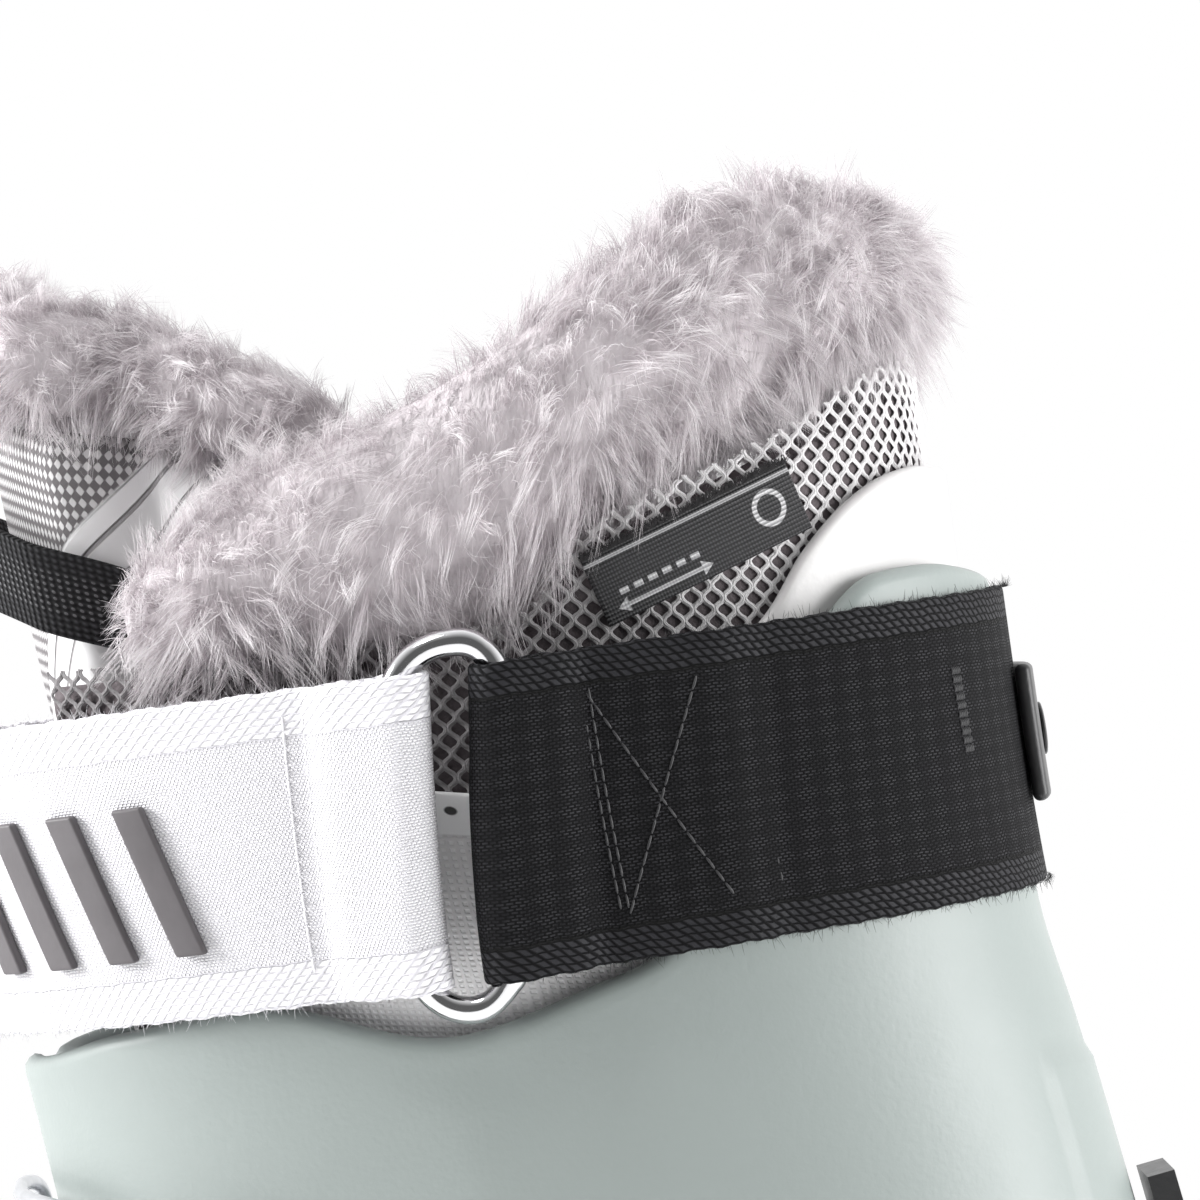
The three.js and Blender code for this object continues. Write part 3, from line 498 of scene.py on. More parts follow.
def liner_inset(angle):
    return np.maximum(lap_inset(angle) - 2.4, 0)


def strips(name, layers, finish, body, slot, tone=None):
    """Many narrow strips as one piece: layers is strips x stations x points across x 3, in millimetres."""
    count, stations_each, across, _ = layers.shape
    index = np.arange(count * stations_each * across).reshape(count, stations_each, across)
    quads = np.stack([index[:, :-1, :-1], index[:, :-1, 1:], index[:, 1:, 1:], index[:, 1:, :-1]], -1)
    if tone is not None:
        tone = np.broadcast_to(tone[:, :, None], index.shape).ravel()
    quads = quads.reshape(-1, 4).tolist()
    return add_piece(name, layers.reshape(-1, 3), quads, finish, body, slot, tone=tone)


def filaments(paths, normals, radius):
    """A half-round thread along each path, its back to the surface that the normals leave."""
    along = np.gradient(paths, axis=1)
    side = unit(np.cross(along, normals)) * np.asarray(radius)[..., None]
    top = normals * np.asarray(radius)[..., None]
    left, right = paths - side * 0.6 + top * 0.7, paths + side * 0.6 + top * 0.7
    return np.stack([paths - side, left, paths + top, right, paths + side], axis=2)


backing = Finish("liner_backing", Roughness=0.95, Specular_IOR_Level=0.2)
backing.paint(backing.noise(900.0, 2.0), (0.075, 0.064, 0.068), (0.16, 0.14, 0.147))
backing.bump(backing.noise(1400.0, 2.0), 0.0003)
liner_angles = np.linspace(-LINER_OPEN, LINER_OPEN, 130)
liner_low = lookup(liner_angles, edge_height(liner_split, liner_angles))
liner_high = lookup(liner_angles, edge_height(collar_line, liner_angles))
liner_squeeze = 12.5


def liner_outside(angle, z):
    return LINER_OFFSET - liner_inset(angle) - liner_squeeze * smooth((SHELL_TOP + 14 - z) / 11)


liner_sheet = wall(liner_angles, liner_low, liner_high, liner_outside, LINER_WALL, rows=60)
liner = add_piece("liner_wall", *liner_sheet, backing, "cuff", "knit")
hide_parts("liner_cuff")

yarn = Finish("pale_yarn", Roughness=0.75, Specular_IOR_Level=0.3)
# The yarn's colour follows its tone map, which holds painted light and painted shade as well as the yarns'
# own tone.
yarn_shade = yarn.tone()
yarn.paint(yarn_shade, (0.17, 0.16, 0.165), (0.74, 0.73, 0.735))
yarn.bump(yarn.noise(2600.0, 2.0), 0.0001)
rng = np.random.default_rng(11)
wale, course, per_course = 1.62, 1.75, 5
around = np.linspace(-math.radians(140), math.radians(140), 2000)
collar_steps = np.linalg.norm(np.diff(on_leg(around, 285.0, LINER_OFFSET), axis=0), axis=1)
collar_arc = np.concatenate([[0], np.cumsum(collar_steps)])
wales = np.arange(0, collar_arc[-1], wale)
yarn_low = edge_height(cuff_top_line, np.interp(wales, collar_arc, around)) - 3
yarn_high = edge_height(collar_line, np.interp(wales, collar_arc, around)) + 2
yarn_paths, yarn_normals, yarn_tone_and_shade = [], [], []
for k, arc in enumerate(wales):
    first = math.floor(yarn_low[k] / course * per_course)
    steps = np.arange(first, math.ceil(yarn_high[k] / course * per_course) + 1)
    for span in np.array_split(steps, max(len(steps) // 28, 1)):
        span = np.concatenate([span, span[-1:] + 1])
        span = np.interp(np.linspace(0, 1, 30), np.linspace(0, 1, len(span)), span)
        heights = span / per_course * course
        swing = np.cos(math.pi * span / per_course) * (1 if k % 2 else -1)
        swing = signed_power(swing, 0.8)
        for strand in (-0.34, 0.0, 0.34):
            jitter = rng.normal(0, 0.035, len(span))
            local = np.interp(arc + wale * 0.43 * swing + strand * (1.15 - 0.5 * np.abs(swing)) + jitter,
                              collar_arc, around)
            lift = 0.25 + 0.16 * np.abs(swing) + (0.1 if strand == 0 else 0.0)
            lift = lift + rng.normal(0, 0.03, len(span))
            yarn_paths.append(on_leg(local, heights, LINER_OFFSET - liner_inset(local) + lift))
            yarn_normals.append(leg_normal(local, heights))
            # Painted light and shade on the yarns: darker towards the front and lighter towards the heel, and
            # darker midway between the points where they touch their neighbours, where they lie lowest. The
            # random factor is the yarns' own tone.
            painted_light_along_boot = np.interp(yarn_paths[-1][:, 1], (-30, -8, 10, 30), (0.22, 0.4, 0.75, 0.95))
            yarn_tone_and_shade.append(np.clip(painted_light_along_boot * rng.uniform(0.75, 1.1) - 0.2 * (1 - np.abs(swing)), 0, 1))
yarn_radius = np.full((len(yarn_paths), 30), 0.19)
yarn_threads = filaments(np.array(yarn_paths), np.array(yarn_normals), yarn_radius)
strips("liner_net", yarn_threads, yarn, "cuff", "knit", np.array(yarn_tone_and_shade))

# ---------------------------------------------------------------------------------------------
# The liner's trim. A white side panel on each flank, of grid-embossed fabric under a smooth bound
# edge with punched holes, and on the outer side a black ribbed woven label with a plain ring,
# dashes and a double arrow in white.
# ---------------------------------------------------------------------------------------------


def eased(low, high, count, edge):
    """Stations from low to high that crowd towards both ends, for a rounded edge."""
    corner = edge * (1 - np.cos(np.linspace(0, math.pi / 2, 5)))
    middle = np.linspace(low + edge, high - edge, count)
    return np.concatenate([low + corner, middle[1:-1], (high - corner)[::-1]])


def slab(place, us, vs, thickness, edge, crown=0.0):
    """A sheet or pad laid on a chart place(u, v, n): two faces that round into each other at the rim."""
    u, v = np.meshgrid(us, vs, indexing="ij")
    reach = np.minimum(np.minimum(u - us[0], us[-1] - u), np.minimum(v - vs[0], vs[-1] - v))
    half = thickness / 2 * np.sqrt(np.clip(1 - (1 - np.clip(reach / edge, 0, 1)) ** 2, 0, 1))
    across = (2 * (v - vs[0]) / (vs[-1] - vs[0]) - 1)
    top = place(u, v, thickness / 2 + half + crown * (1 - across ** 2)).reshape(-1, 3)
    low = place(u, v, thickness / 2 - half).reshape(-1, 3)
    rows, columns = u.shape
    index = np.arange(rows * columns).reshape(rows, columns)
    inner = np.zeros_like(index, bool)
    inner[1:-1, 1:-1] = True
    under = index.copy()
    under[inner] = rows * columns + np.arange(inner.sum())
    points = np.concatenate([top, low[inner.ravel()]])
    flat = np.stack([u.ravel(), v.ravel()], -1)
    flat = np.concatenate([flat, flat[inner.ravel()]])
    quads = []
    for grid, turn in ((index, 1), (under, -1)):
        corners = np.stack([grid[:-1, :-1], grid[1:, :-1], grid[1:, 1:], grid[:-1, 1:]], -1).reshape(-1, 4)
        quads += corners[:, ::turn].tolist()
    return points, quads, flat


def panel_place(side):
    def place(u, v, n):
        angle = side * np.radians(u)
        height = v + 5 * np.cos(np.radians((u - 96) * 4)) * smooth((v - 230) / 17)
        return on_leg(angle, height, LINER_OFFSET - liner_inset(angle) + 0.4 + n)
    return place


panel = Finish("embossed_panel", Roughness=0.7, Specular_IOR_Level=0.35)
u_flat, v_flat = panel.flat()
across_grid = (u_flat * 1.28).remainder().pulse(0.12, 0.34, 0.66, 0.88)
along_grid = (v_flat * 1.28).remainder().pulse(0.12, 0.34, 0.66, 0.88)
edging = v_flat.between(241.6, 242.0)
boss = (across_grid * along_grid) * (1 - edging)
hole_u = ((u_flat - 73.2) * 0.36).remainder() * 2.78 - 1.39
hole_v = v_flat - 244.6
hole = (hole_u * hole_u + hole_v * hole_v).math("SQRT").between(0.42, 0.62)
# Painted shade: the sunken ground between the raised bosses is painted darker than the bosses.
panel_grid = panel.mix(boss, (0.82, 0.81, 0.815), (0.95, 0.945, 0.95))
panel_colour = panel.mix(edging, panel_grid, (0.95, 0.95, 0.955))
panel.paint(hole, (0.07, 0.07, 0.07), panel_colour)
panel.bump(boss * 0.6 + edging * 1.5 + hole * 0.8, 0.0003)
for side, word, reach, panel_long in ((1, "outer", 128, 0.072), (-1, "inner", 112, 0.055)):
    us, vs = eased(75, reach, 90, 0.6), eased(202, 247, 60, 0.5)
    points, quads, flat = slab(panel_place(side), us, vs, 1.2, 0.6)
    flat = flat * [MM * 990, 1]
    piece = add_piece(f"side_panel_{word}", points, [q[::side] for q in quads], panel, "cuff", "white_panel",
                      flat=flat)
    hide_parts(f"side_panel_{word}")

LABEL_TILT = math.radians(25)
LABEL_Y, LABEL_Z = 13.4, 287.6
LABEL_LONG, LABEL_TALL = 35.0, 10.3


def label_place(u, v, n):
    y = LABEL_Y + u * math.cos(LABEL_TILT) - v * math.sin(LABEL_TILT)
    z = LABEL_Z + u * math.sin(LABEL_TILT) + v * math.cos(LABEL_TILT)
    middle, half = (leg_rear(z) + leg_front(z)) / 2, (leg_rear(z) - leg_front(z)) / 2
    angle = np.arccos(signed_power((y - middle) / half, 1 / LEG_POWER))
    return on_leg(angle, z, LINER_OFFSET + 0.75 + n)


label = Finish("ribbed_label", Roughness=0.5, Specular_IOR_Level=0.5)
u_flat, v_flat = label.flat()
ribs = (v_flat * (math.tau / 0.62)).wave() * 0.5 + 0.5
knots = (u_flat * (math.tau / 0.5)).wave() * 0.5 + 0.5
upper_line = (v_flat - 4.1).size().between(0.3, 0.16)
mark_u, mark_v = u_flat - 12.2, v_flat - 0.3
ring_reach = ((mark_u * mark_u + mark_v * mark_v).math("SQRT") - 2.35).size()
mark_ring = ring_reach.between(0.5, 0.28)
dash_row = (v_flat + 1.2).size().between(0.5, 0.36) * ((u_flat + 3.0) * 0.42).remainder().between(0.35, 0.4)
dash_row = dash_row * (u_flat + 7.2).size().between(7.2, 7.0)
shaft = (v_flat + 3.3).size().between(0.36, 0.22) * (u_flat + 7.2).size().between(6.4, 6.2)
arrow_run = (u_flat + 7.2).size()
arrow_head = (v_flat + 3.3).size().math("SUBTRACT", (8.0 - arrow_run) * 0.6).between(0.05, -0.05)
arrow_head = arrow_head * arrow_run.between(6.1, 6.3)
marks = upper_line.most(mark_ring).most(dash_row).most(shaft).most(arrow_head) * (0.55 + ribs * 0.45)
cloth = label.mix(ribs * knots, (0.014, 0.014, 0.015), (0.06, 0.06, 0.064))
label.set(Base_Color=label.mix(marks, cloth, (0.62, 0.62, 0.63)), Roughness=0.62 - ribs * 0.2)
label.bump(ribs + knots * 0.3, 0.00022)
points, quads, flat = slab(label_place, eased(-LABEL_LONG / 2, LABEL_LONG / 2, 90, 0.4),
                           eased(-LABEL_TALL / 2, LABEL_TALL / 2, 40, 0.35), 0.8, 0.4)
woven_label = add_piece("woven_label_strip", points, quads, label, "cuff", "label_weave", flat=flat)
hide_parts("woven_label")

fringe_count = 900
fringe_u = rng.uniform(-LABEL_LONG / 2, LABEL_LONG / 2, fringe_count)
fringe_long = rng.uniform(0.5, 1.7, fringe_count)
fringe_lean = rng.normal(0, 0.5, fringe_count)
fringe_t = np.linspace(0, 1, 4)
fringe_paths = label_place(fringe_u[:, None] + fringe_lean[:, None] * fringe_t ** 2,
                           LABEL_TALL / 2 - 0.3 + fringe_long[:, None] * fringe_t,
                           0.6 + 1.1 * fringe_t * rng.uniform(0.2, 1, fringe_count)[:, None])
fringe_side = np.stack([fringe_t * 0, np.full(4, 0.06), fringe_t * 0], -1)
dark_thread = Finish("dark_thread", Roughness=0.8)
dark_thread.paint(dark_thread.noise(1200.0), (0.015, 0.014, 0.015), (0.05, 0.048, 0.05))
fringe_layers = np.stack([fringe_paths - fringe_side, fringe_paths + fringe_side], 2)
strips("label_fringe", fringe_layers, dark_thread, "cuff", "label_weave")

# ---------------------------------------------------------------------------------------------
# The tongue. A padded shin piece whose edge shows at the front: pale mesh down the middle, white
# coated flanks and a bound edge, with a black webbing pull loop that stands off it.
# ---------------------------------------------------------------------------------------------
TONGUE_OFFSET, TONGUE_TOP = LINER_OFFSET - LINER_WALL - 0.6 - (LAP_DROP - 2.4), 304.0
TONGUE_SPREAD = math.radians(66)


def tongue_at(angle):
    return TONGUE_OFFSET - 11.5 * smooth((np.abs(angle - math.pi) - math.radians(36)) / math.radians(16))


def tongue_drop(angle):
    return 9 * (np.abs(angle - math.pi) / TONGUE_SPREAD) ** 2


def tongue_place(u, v, n):
    """u runs from -1 to 1 around the shin, v from 0 to 1 up it."""
    angle = math.pi + u * TONGUE_SPREAD * mix(0.6, 1, smooth(v * 1.6))
    return on_leg(angle, mix(171, TONGUE_TOP - tongue_drop(angle), v), tongue_at(angle) - 7 + n)


tongue = Finish("tongue_fabric", Roughness=0.75, Specular_IOR_Level=0.35)
u_flat, v_flat = tongue.flat()
welt_at = (v_flat - 108.6) * 0.80 + 29.0
mesh_zone = (welt_at - u_flat.size()).between(0.0, 0.5)
dots = ((u_flat * 2.9 + v_flat * 1.7).wave() * (u_flat * 2.9 - v_flat * 1.7).wave()).between(-0.05, 0.3)
welt = (u_flat.size() - welt_at - 1.6).size().between(1.7, 1.3)
seam = (u_flat.size() - welt_at - 3.4).size().between(0.45, 0.2)
second_seam = (u_flat.size() - welt_at - 9.0).size().between(0.4, 0.15)
tongue_mesh = tongue.mix(dots, (0.16, 0.15, 0.155), (0.66, 0.65, 0.655))
tongue_colour = tongue.mix(mesh_zone, (0.74, 0.735, 0.74), tongue_mesh)
tongue_colour = tongue.mix(welt, tongue_colour, (0.85, 0.845, 0.85))
tongue.paint(seam.most(second_seam) * 0.8, tongue_colour, (0.25, 0.24, 0.245))
tongue_relief = dots * mesh_zone * 0.5 + welt * 2.0 - seam * 1.5 - second_seam + tongue.noise(500.0) * 0.15
tongue.bump(tongue_relief, 0.0003)
points, quads, flat = slab(tongue_place, np.linspace(-1, 1, 110), np.linspace(0, 1, 90), 7.0, 0.06)
tongue_piece = add_piece("tongue_pad", points, [q[::-1] for q in quads], tongue, "cuff", "knit",
                         flat=flat * [58, 130])
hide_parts("tongue")

binding = Finish("white_binding", Roughness=0.8)
binding_shade = binding.tone()
binding.paint(binding_shade, (0.50, 0.49, 0.50), (0.88, 0.87, 0.88))
binding_v = np.linspace(0.25, 0.97, 520)
binding_layers, binding_ridge_shade = [], []
for side in (-1, 1):
    centre = tongue_place(np.full_like(binding_v, side * 0.985), binding_v, np.full_like(binding_v, 3.5))
    normal = leg_normal(math.pi + side * TONGUE_SPREAD * mix(0.6, 1, smooth(binding_v * 1.6)),
                        mix(171, TONGUE_TOP - 9, binding_v))
    outward = unit(np.cross(np.gradient(centre, axis=0), normal)) * side
    ridge = 1 + 0.13 * np.sin(np.arange(len(binding_v)) * 1.6)
    ring = [centre + (normal * math.cos(a) * 3.7 + outward * math.sin(a) * 1.7) * ridge[:, None]
            for a in np.linspace(-0.2, math.pi + 0.2, 11)]
    binding_layers.append(np.stack(ring, 1))
    # Painted shade: the binding is painted lighter on each ridge and darker in the dips between them, in step
    # with the ridge radius above.
    binding_ridge_shade.append(0.5 + 0.5 * np.sin(np.arange(len(binding_v)) * 1.6))
strips("tongue_binding", np.array(binding_layers), binding, "cuff", "knit", np.array(binding_ridge_shade))

webbing_black = Finish("black_ribbon", Roughness=0.8, Specular_IOR_Level=0.3)
u_flat, v_flat = webbing_black.flat()
rib = (u_flat * 5.2).wave() * 0.5 + 0.5
row = (v_flat * 6.5).wave() * 0.5 + 0.5
middle_band = v_flat.size().between(3.4, 3.0)
ribbon_tone = webbing_black.mix(rib * row, (0.010, 0.010, 0.011), (0.055, 0.055, 0.06))
webbing_black.paint(middle_band * (rib * row).above(0.55), ribbon_tone, (0.13, 0.13, 0.135))
webbing_black.bump(rib + row, 0.0002)


def loop_place(u, v, n):
    angle = math.pi + 2 * u * math.radians(47)
    rise = np.abs(np.cos(np.clip(u, -0.5, 0.5) * math.pi)) ** 0.8
    return on_leg(angle, 273 + v + 16 * rise, tongue_at(angle) + 0.6 + 13 * rise + n)


points, quads, flat = slab(loop_place, np.linspace(-0.5, 0.5, 160), eased(-6.5, 6.5, 24, 0.5), 1.2, 0.02)
pull_loop = add_piece("pull_loop_ribbon", points, [q[::-1] for q in quads], webbing_black, "cuff",
                      "black_web", flat=flat * [150, 1])
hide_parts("pull_loop")

# ---------------------------------------------------------------------------------------------
# The fur. A roll around the collar and a smaller one on the tongue: a soft core, locks of long
# fine hair that leave it outwards and droop, and loose hairs between them. All of it is mesh.
# ---------------------------------------------------------------------------------------------
fur_core = Finish("fur_core", Roughness=0.95, Specular_IOR_Level=0.15)
fur_core.paint(fur_core.noise(420.0, 4.0, stretch=(1, 1, 0.45)), (0.40, 0.36, 0.38),
               (0.64, 0.605, 0.622))
fur_core.bump(fur_core.noise(600.0, 4.0, stretch=(1, 1, 0.4)), 0.0012)

hair = Finish("fur_hair", Roughness=0.85, Specular_IOR_Level=0.1)
hair_shade = hair.tone()
hair_colour = hair.mix(hair_shade, (0.47, 0.42, 0.445), (0.86, 0.84, 0.85))
hair.set(Base_Color=hair_colour)
glow = hair.node("ShaderNodeBsdfTranslucent", None, {"Color": hair_colour})
blend_node = hair.node("ShaderNodeMixShader", None, {0: 0.42, 1: hair.shader.outputs[0], 2: glow.outputs[0]})
output = next(n for n in hair.tree.nodes if n.type == "OUTPUT_MATERIAL")
hair.tree.links.new(blend_node.outputs[0], output.inputs["Surface"])


fur_top = stations((-82, 286), (-72, 289), (-64, 294), (-55, 300), (-45, 304.5), (-36, 308), (-28, 311.5),
                   (-15, 318.5), (-3, 326), (11, 335), (23, 341), (35, 344), (46, 342.5), (60, 341))


def rounded_end(t):
    end = np.minimum(t, 1 - t)
    return np.sqrt(np.maximum(1 - (1 - np.minimum(end / 0.06, 1)) ** 2, 0.12))


def collar_roll(t, turn, grow):
    """A point of the roll: t along it, turn around its section, grow its size against the full roll."""
    angle = mix(-math.radians(126), math.radians(126), t)
    station = leg_base(angle, 300.0 + 0 * t)[..., 1]
    low, high = collar_line(station) + 2.0 - 6 * smooth((-12 - station) / 20), fur_top(station)
    size = grow * rounded_end(t)
    return on_leg(angle, (low + high) / 2 + np.cos(turn) * (high - low) / 2 * size,
                  LINER_OFFSET - 5 + np.sin(turn) * 10 * size)


def tongue_roll(t, turn, grow):
    angle = math.pi + mix(-math.radians(84), math.radians(84), t)
    level = TONGUE_TOP - tongue_drop(angle) + 10.4
    size = grow * rounded_end(t)
    return on_leg(angle, level + np.cos(turn) * 10 * size, tongue_at(angle) - 3.5 + np.sin(turn) * 8.5 * size)


def flow_swirl(t, turn):
    """How far the pile leans along the roll at a point of it."""
    return np.sin(t * 37 + turn * 1.3) + np.sin(t * 83 - turn * 2.1 + 1.0)


def fur_roll(name, roll, locks, hairs_each, loose, length, core, seed):
    noise = np.random.default_rng(seed)
    t_core, turn_core = np.meshgrid(np.linspace(0, 1, 150), np.linspace(0, math.tau, 40, endpoint=False),
                                    indexing="ij")
    lump = 1 + 0.06 * np.sin(t_core * 61 + 2 * np.sin(turn_core * 2)) * np.sin(turn_core * 3 + t_core * 23)
    points = roll(t_core, turn_core, core * lump).reshape(-1, 3)
    faces = grid_faces(150, 40, closed_columns=True)
    faces += [tuple(range(40))[::-1], tuple(range(149 * 40, 150 * 40))]
    body = add_piece(f"{name}_core", points, faces, fur_core, "cuff", "fur")

    steps = 5
    w = np.linspace(0, 1, steps)[None, :, None]

    def flows(t, turn, reach, drift, droop):
        """Paths that leave the core outwards and bend with a drift along the roll and a droop."""
        root = roll(t, turn, core * 0.97)
        out = unit(roll(t, turn, core + 0.3) - root)
        ahead = unit(roll(np.clip(t + 0.01, 0, 1), turn, core) - roll(np.clip(t - 0.01, 0, 1), turn, core))
        reach = reach[:, None, None]
        down = np.array([0, 0, -1.0])
        path = root[:, None] + out[:, None] * reach * (w - 0.32 * w ** 2)
        path = path + ahead[:, None] * reach * drift[:, None, None] * w ** 1.5
        path = path + down * reach * droop[:, None, None] * w ** 2
        return path, out

    t_lock, turn_lock = noise.uniform(0.004, 0.996, locks), noise.uniform(0, math.tau, locks)
    swirl = flow_swirl(t_lock, turn_lock)
    lock_reach = length * noise.uniform(0.75, 1.08, locks)
    lock_drift = 0.28 * swirl + noise.normal(0, 0.22, locks)
    lock_droop = np.clip(0.28 + 0.2 * np.sin(turn_lock) + noise.normal(0, 0.14, locks), 0, 0.8)
    lock_path, lock_out = flows(t_lock, turn_lock, lock_reach, lock_drift, lock_droop)
    which = np.repeat(np.arange(locks), hairs_each)
    count = len(which)
    scatter = noise.normal(0, 1, (count, 1, 3)) * 0.9 * (1 - 0.72 * w)
    curl = noise.normal(0, 1, (locks, 1, 3)) * 1.7 * w ** 2
    bend = noise.normal(0, 1, (count, 1, 3)) * 0.4 * w ** 2 + noise.normal(0, 0.06, (count, steps, 3)) * w
    bend = bend + curl[which]
    stretch = noise.uniform(0.7, 1.05, (count, 1, 1))
    paths = lock_path[which]
    paths = paths[:, :1] + (paths - paths[:, :1]) * stretch + scatter + bend
    out = lock_out[which]
    tone = np.clip(noise.uniform(0.35, 0.95, locks)[which] + noise.normal(0, 0.15, count), 0, 1)

    t_loose, turn_loose = noise.uniform(0.004, 0.996, loose), noise.uniform(0, math.tau, loose)
    loose_path, loose_out = flows(t_loose, turn_loose, length * noise.uniform(0.4, 0.85, loose),
                                  0.28 * flow_swirl(t_loose, turn_loose) + noise.normal(0, 0.45, loose),
                                  np.clip(noise.normal(0.3, 0.22, loose), 0, 0.9))
    loose_path = loose_path + noise.normal(0, 0.2, loose_path.shape) * w
    paths = np.concatenate([paths, loose_path])
    out = np.concatenate([out, loose_out])
    tone = np.concatenate([tone, np.clip(noise.normal(0.7, 0.2, loose), 0, 1)])

    along = unit(np.gradient(paths, axis=1))
    side = unit(np.cross(along, out[:, None] + noise.normal(0, 0.45, (len(paths), 1, 3))))
    taper = np.array([1, 1, 0.9, 0.65, 0.12])[None, :, None]
    width = noise.uniform(0.034, 0.06, (len(paths), 1, 1)) * taper
    # Painted shade: each hair's colour map is its lock's own tone, darkened towards the root.
    shade = tone[:, None] * np.array([0.2, 0.55, 0.85, 1, 1])[None]
    layers = np.stack([paths - side * width, paths + side * width], 2)
    pile = strips(f"{name}_pile", layers, hair, "cuff", "fur", shade)
    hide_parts(name)
    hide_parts(name)


fur_roll("collar_fur", collar_roll, 5000, 15, 24000, 9.2, 0.79, 5)
fur_roll("tongue_fur", tongue_roll, 2000, 15, 9000, 7.8, 0.77, 6)

# ---------------------------------------------------------------------------------------------
# The power strap. Black jacquard webbing around the calf and white satin webbing around the shin,
# each folded through a polished steel ring and stitched back, with raised bars on the white one.
# ---------------------------------------------------------------------------------------------
STRAP_WIDTH, STRAP_THICK = 45.0, 1.6
RING_WIRE, RING_WIDTH, RING_Y = 4.0, 18.3, -19.2
STRAP_HEIGHT, STRAP_SLOPE, STRAP_LEAN = 252.4, math.tan(math.radians(8)), 0.0014


def strap_level(angle, across):
    z = np.full_like(np.asarray(angle, float) + across, STRAP_HEIGHT)
    for _ in range(4):
        z = STRAP_HEIGHT + STRAP_SLOPE * (leg_base(angle, z)[..., 1] - 10) + across
    return z


def strap_point(angle, across, offset):
    leaned = angle - STRAP_LEAN * across * np.sin(angle)
    return on_leg(leaned, strap_level(leaned, across), offset)


arc_angles = np.linspace(0, math.tau, 401)
arc_steps = np.linalg.norm(np.diff(strap_point(arc_angles, 0.0, 1.0), axis=0), axis=1)
arc_table = np.concatenate([[0], np.cumsum(arc_steps)])
STRAP_LONG = arc_table[-1]
ring_angle = math.acos(-(abs(RING_Y + 17) / 81) ** (1 / LEG_POWER))
RING_ARC = arc_table[np.argmax(arc_angles > ring_angle)]


def strap_chart(s, v, n):
    return strap_point(np.interp((RING_ARC + s) % STRAP_LONG, arc_table, arc_angles), v, n)


IN_LAYER = 0.4 + STRAP_THICK / 2
OUT_LAYER = IN_LAYER + STRAP_THICK + 0.4
LOOP_RADIUS = RING_WIRE / 2 + 1.4 + STRAP_THICK / 2
RING_OFFSET = IN_LAYER + LOOP_RADIUS - 1
BAR_ARC = RING_WIDTH / 2 - RING_WIRE / 2


def run(start, end, low, high, steps):
    share = np.linspace(0, 1, steps + 1)
    return [(mix(start, end, t), mix(low, high, smooth(t))) for t in share]


def loop_turn(towards):
    return [(towards * (BAR_ARC - LOOP_RADIUS * math.cos(t)), RING_OFFSET + LOOP_RADIUS * math.sin(t))
            for t in np.linspace(-math.pi / 2, math.pi / 2, 9)]


REAR_LEVEL = -(STRAP_LONG / 2 - 4)
REAR_END, SEWN = -36.0, 30.0
SEAM_ARC = STRAP_LONG + REAR_LEVEL - 24
rear_route = (run(REAR_END, -BAR_ARC - 12, IN_LAYER, IN_LAYER, 3)
              + run(-BAR_ARC - 8, -BAR_ARC - 4, IN_LAYER, RING_OFFSET - LOOP_RADIUS, 1) + loop_turn(-1)
              + run(-BAR_ARC - 5, -BAR_ARC - 12, RING_OFFSET + LOOP_RADIUS - 0.3, OUT_LAYER, 2)[1:]
              + run(-BAR_ARC - 17, REAR_END - 3, OUT_LAYER, OUT_LAYER, 2)
              + run(REAR_END - 10, REAR_LEVEL - 24, IN_LAYER, IN_LAYER, 28))
fold_end = min(STRAP_LONG / 2 - 34, SEAM_ARC - 18)
front_route = (run(SEAM_ARC + SEWN, SEAM_ARC - 3, OUT_LAYER, OUT_LAYER, 4)
               + run(SEAM_ARC - 9, BAR_ARC + 12, IN_LAYER, IN_LAYER, 26)
               + run(BAR_ARC + 8, BAR_ARC + 4, IN_LAYER, RING_OFFSET - LOOP_RADIUS, 1) + loop_turn(1)
               + run(BAR_ARC + 5, BAR_ARC + 12, RING_OFFSET + LOOP_RADIUS - 0.3, OUT_LAYER, 2)[1:]
               + run(BAR_ARC + 18, fold_end, OUT_LAYER, OUT_LAYER, 18))


def soft_route(route, step=0.7, blur=3):
    """A route of (arc, offset) corners as a dense smooth line, with its unit directions and lengths."""
    route = np.array(route)
    lengths = np.concatenate([[0], np.cumsum(np.linalg.norm(np.diff(route, axis=0), axis=1))])
    keep = np.concatenate([[True], np.diff(lengths) > 1e-6])
    at = np.linspace(0, lengths[-1], int(lengths[-1] / step) + 1)
    line = np.stack([np.interp(at, lengths[keep], route[keep, i]) for i in (0, 1)], -1)
    for _ in range(blur):
        line[1:-1] = (line[:-2] + 2 * line[1:-1] + line[2:]) / 4
    return line, unit(np.gradient(line, axis=0)), at


def webbing(name, route, finish, slot, node):
    line, ahead, at = soft_route(route)
    edge_wave = 0.12 * np.sin(at * 0.9) + 0.08 * np.sin(at * 2.3 + 1)
    half = STRAP_WIDTH / 2

    def place(i, v, n):
        i = np.round(i).astype(int)
        h = n - STRAP_THICK / 2
        wide = v * (1 + edge_wave[i] / half)
        return strap_chart(line[i, 0] - ahead[i, 1] * h, wide, line[i, 1] + ahead[i, 0] * h)
    points, quads, flat = slab(place, np.arange(len(at)), eased(-half, half, 60, 0.8), STRAP_THICK, 0.8)
    flat[:, 0] = at[np.clip(np.round(flat[:, 0]).astype(int), 0, len(at) - 1)]
    piece = add_piece(name, points, quads, finish, "cuff", slot, flat=flat)
    at[-1] * MM
    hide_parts(node)


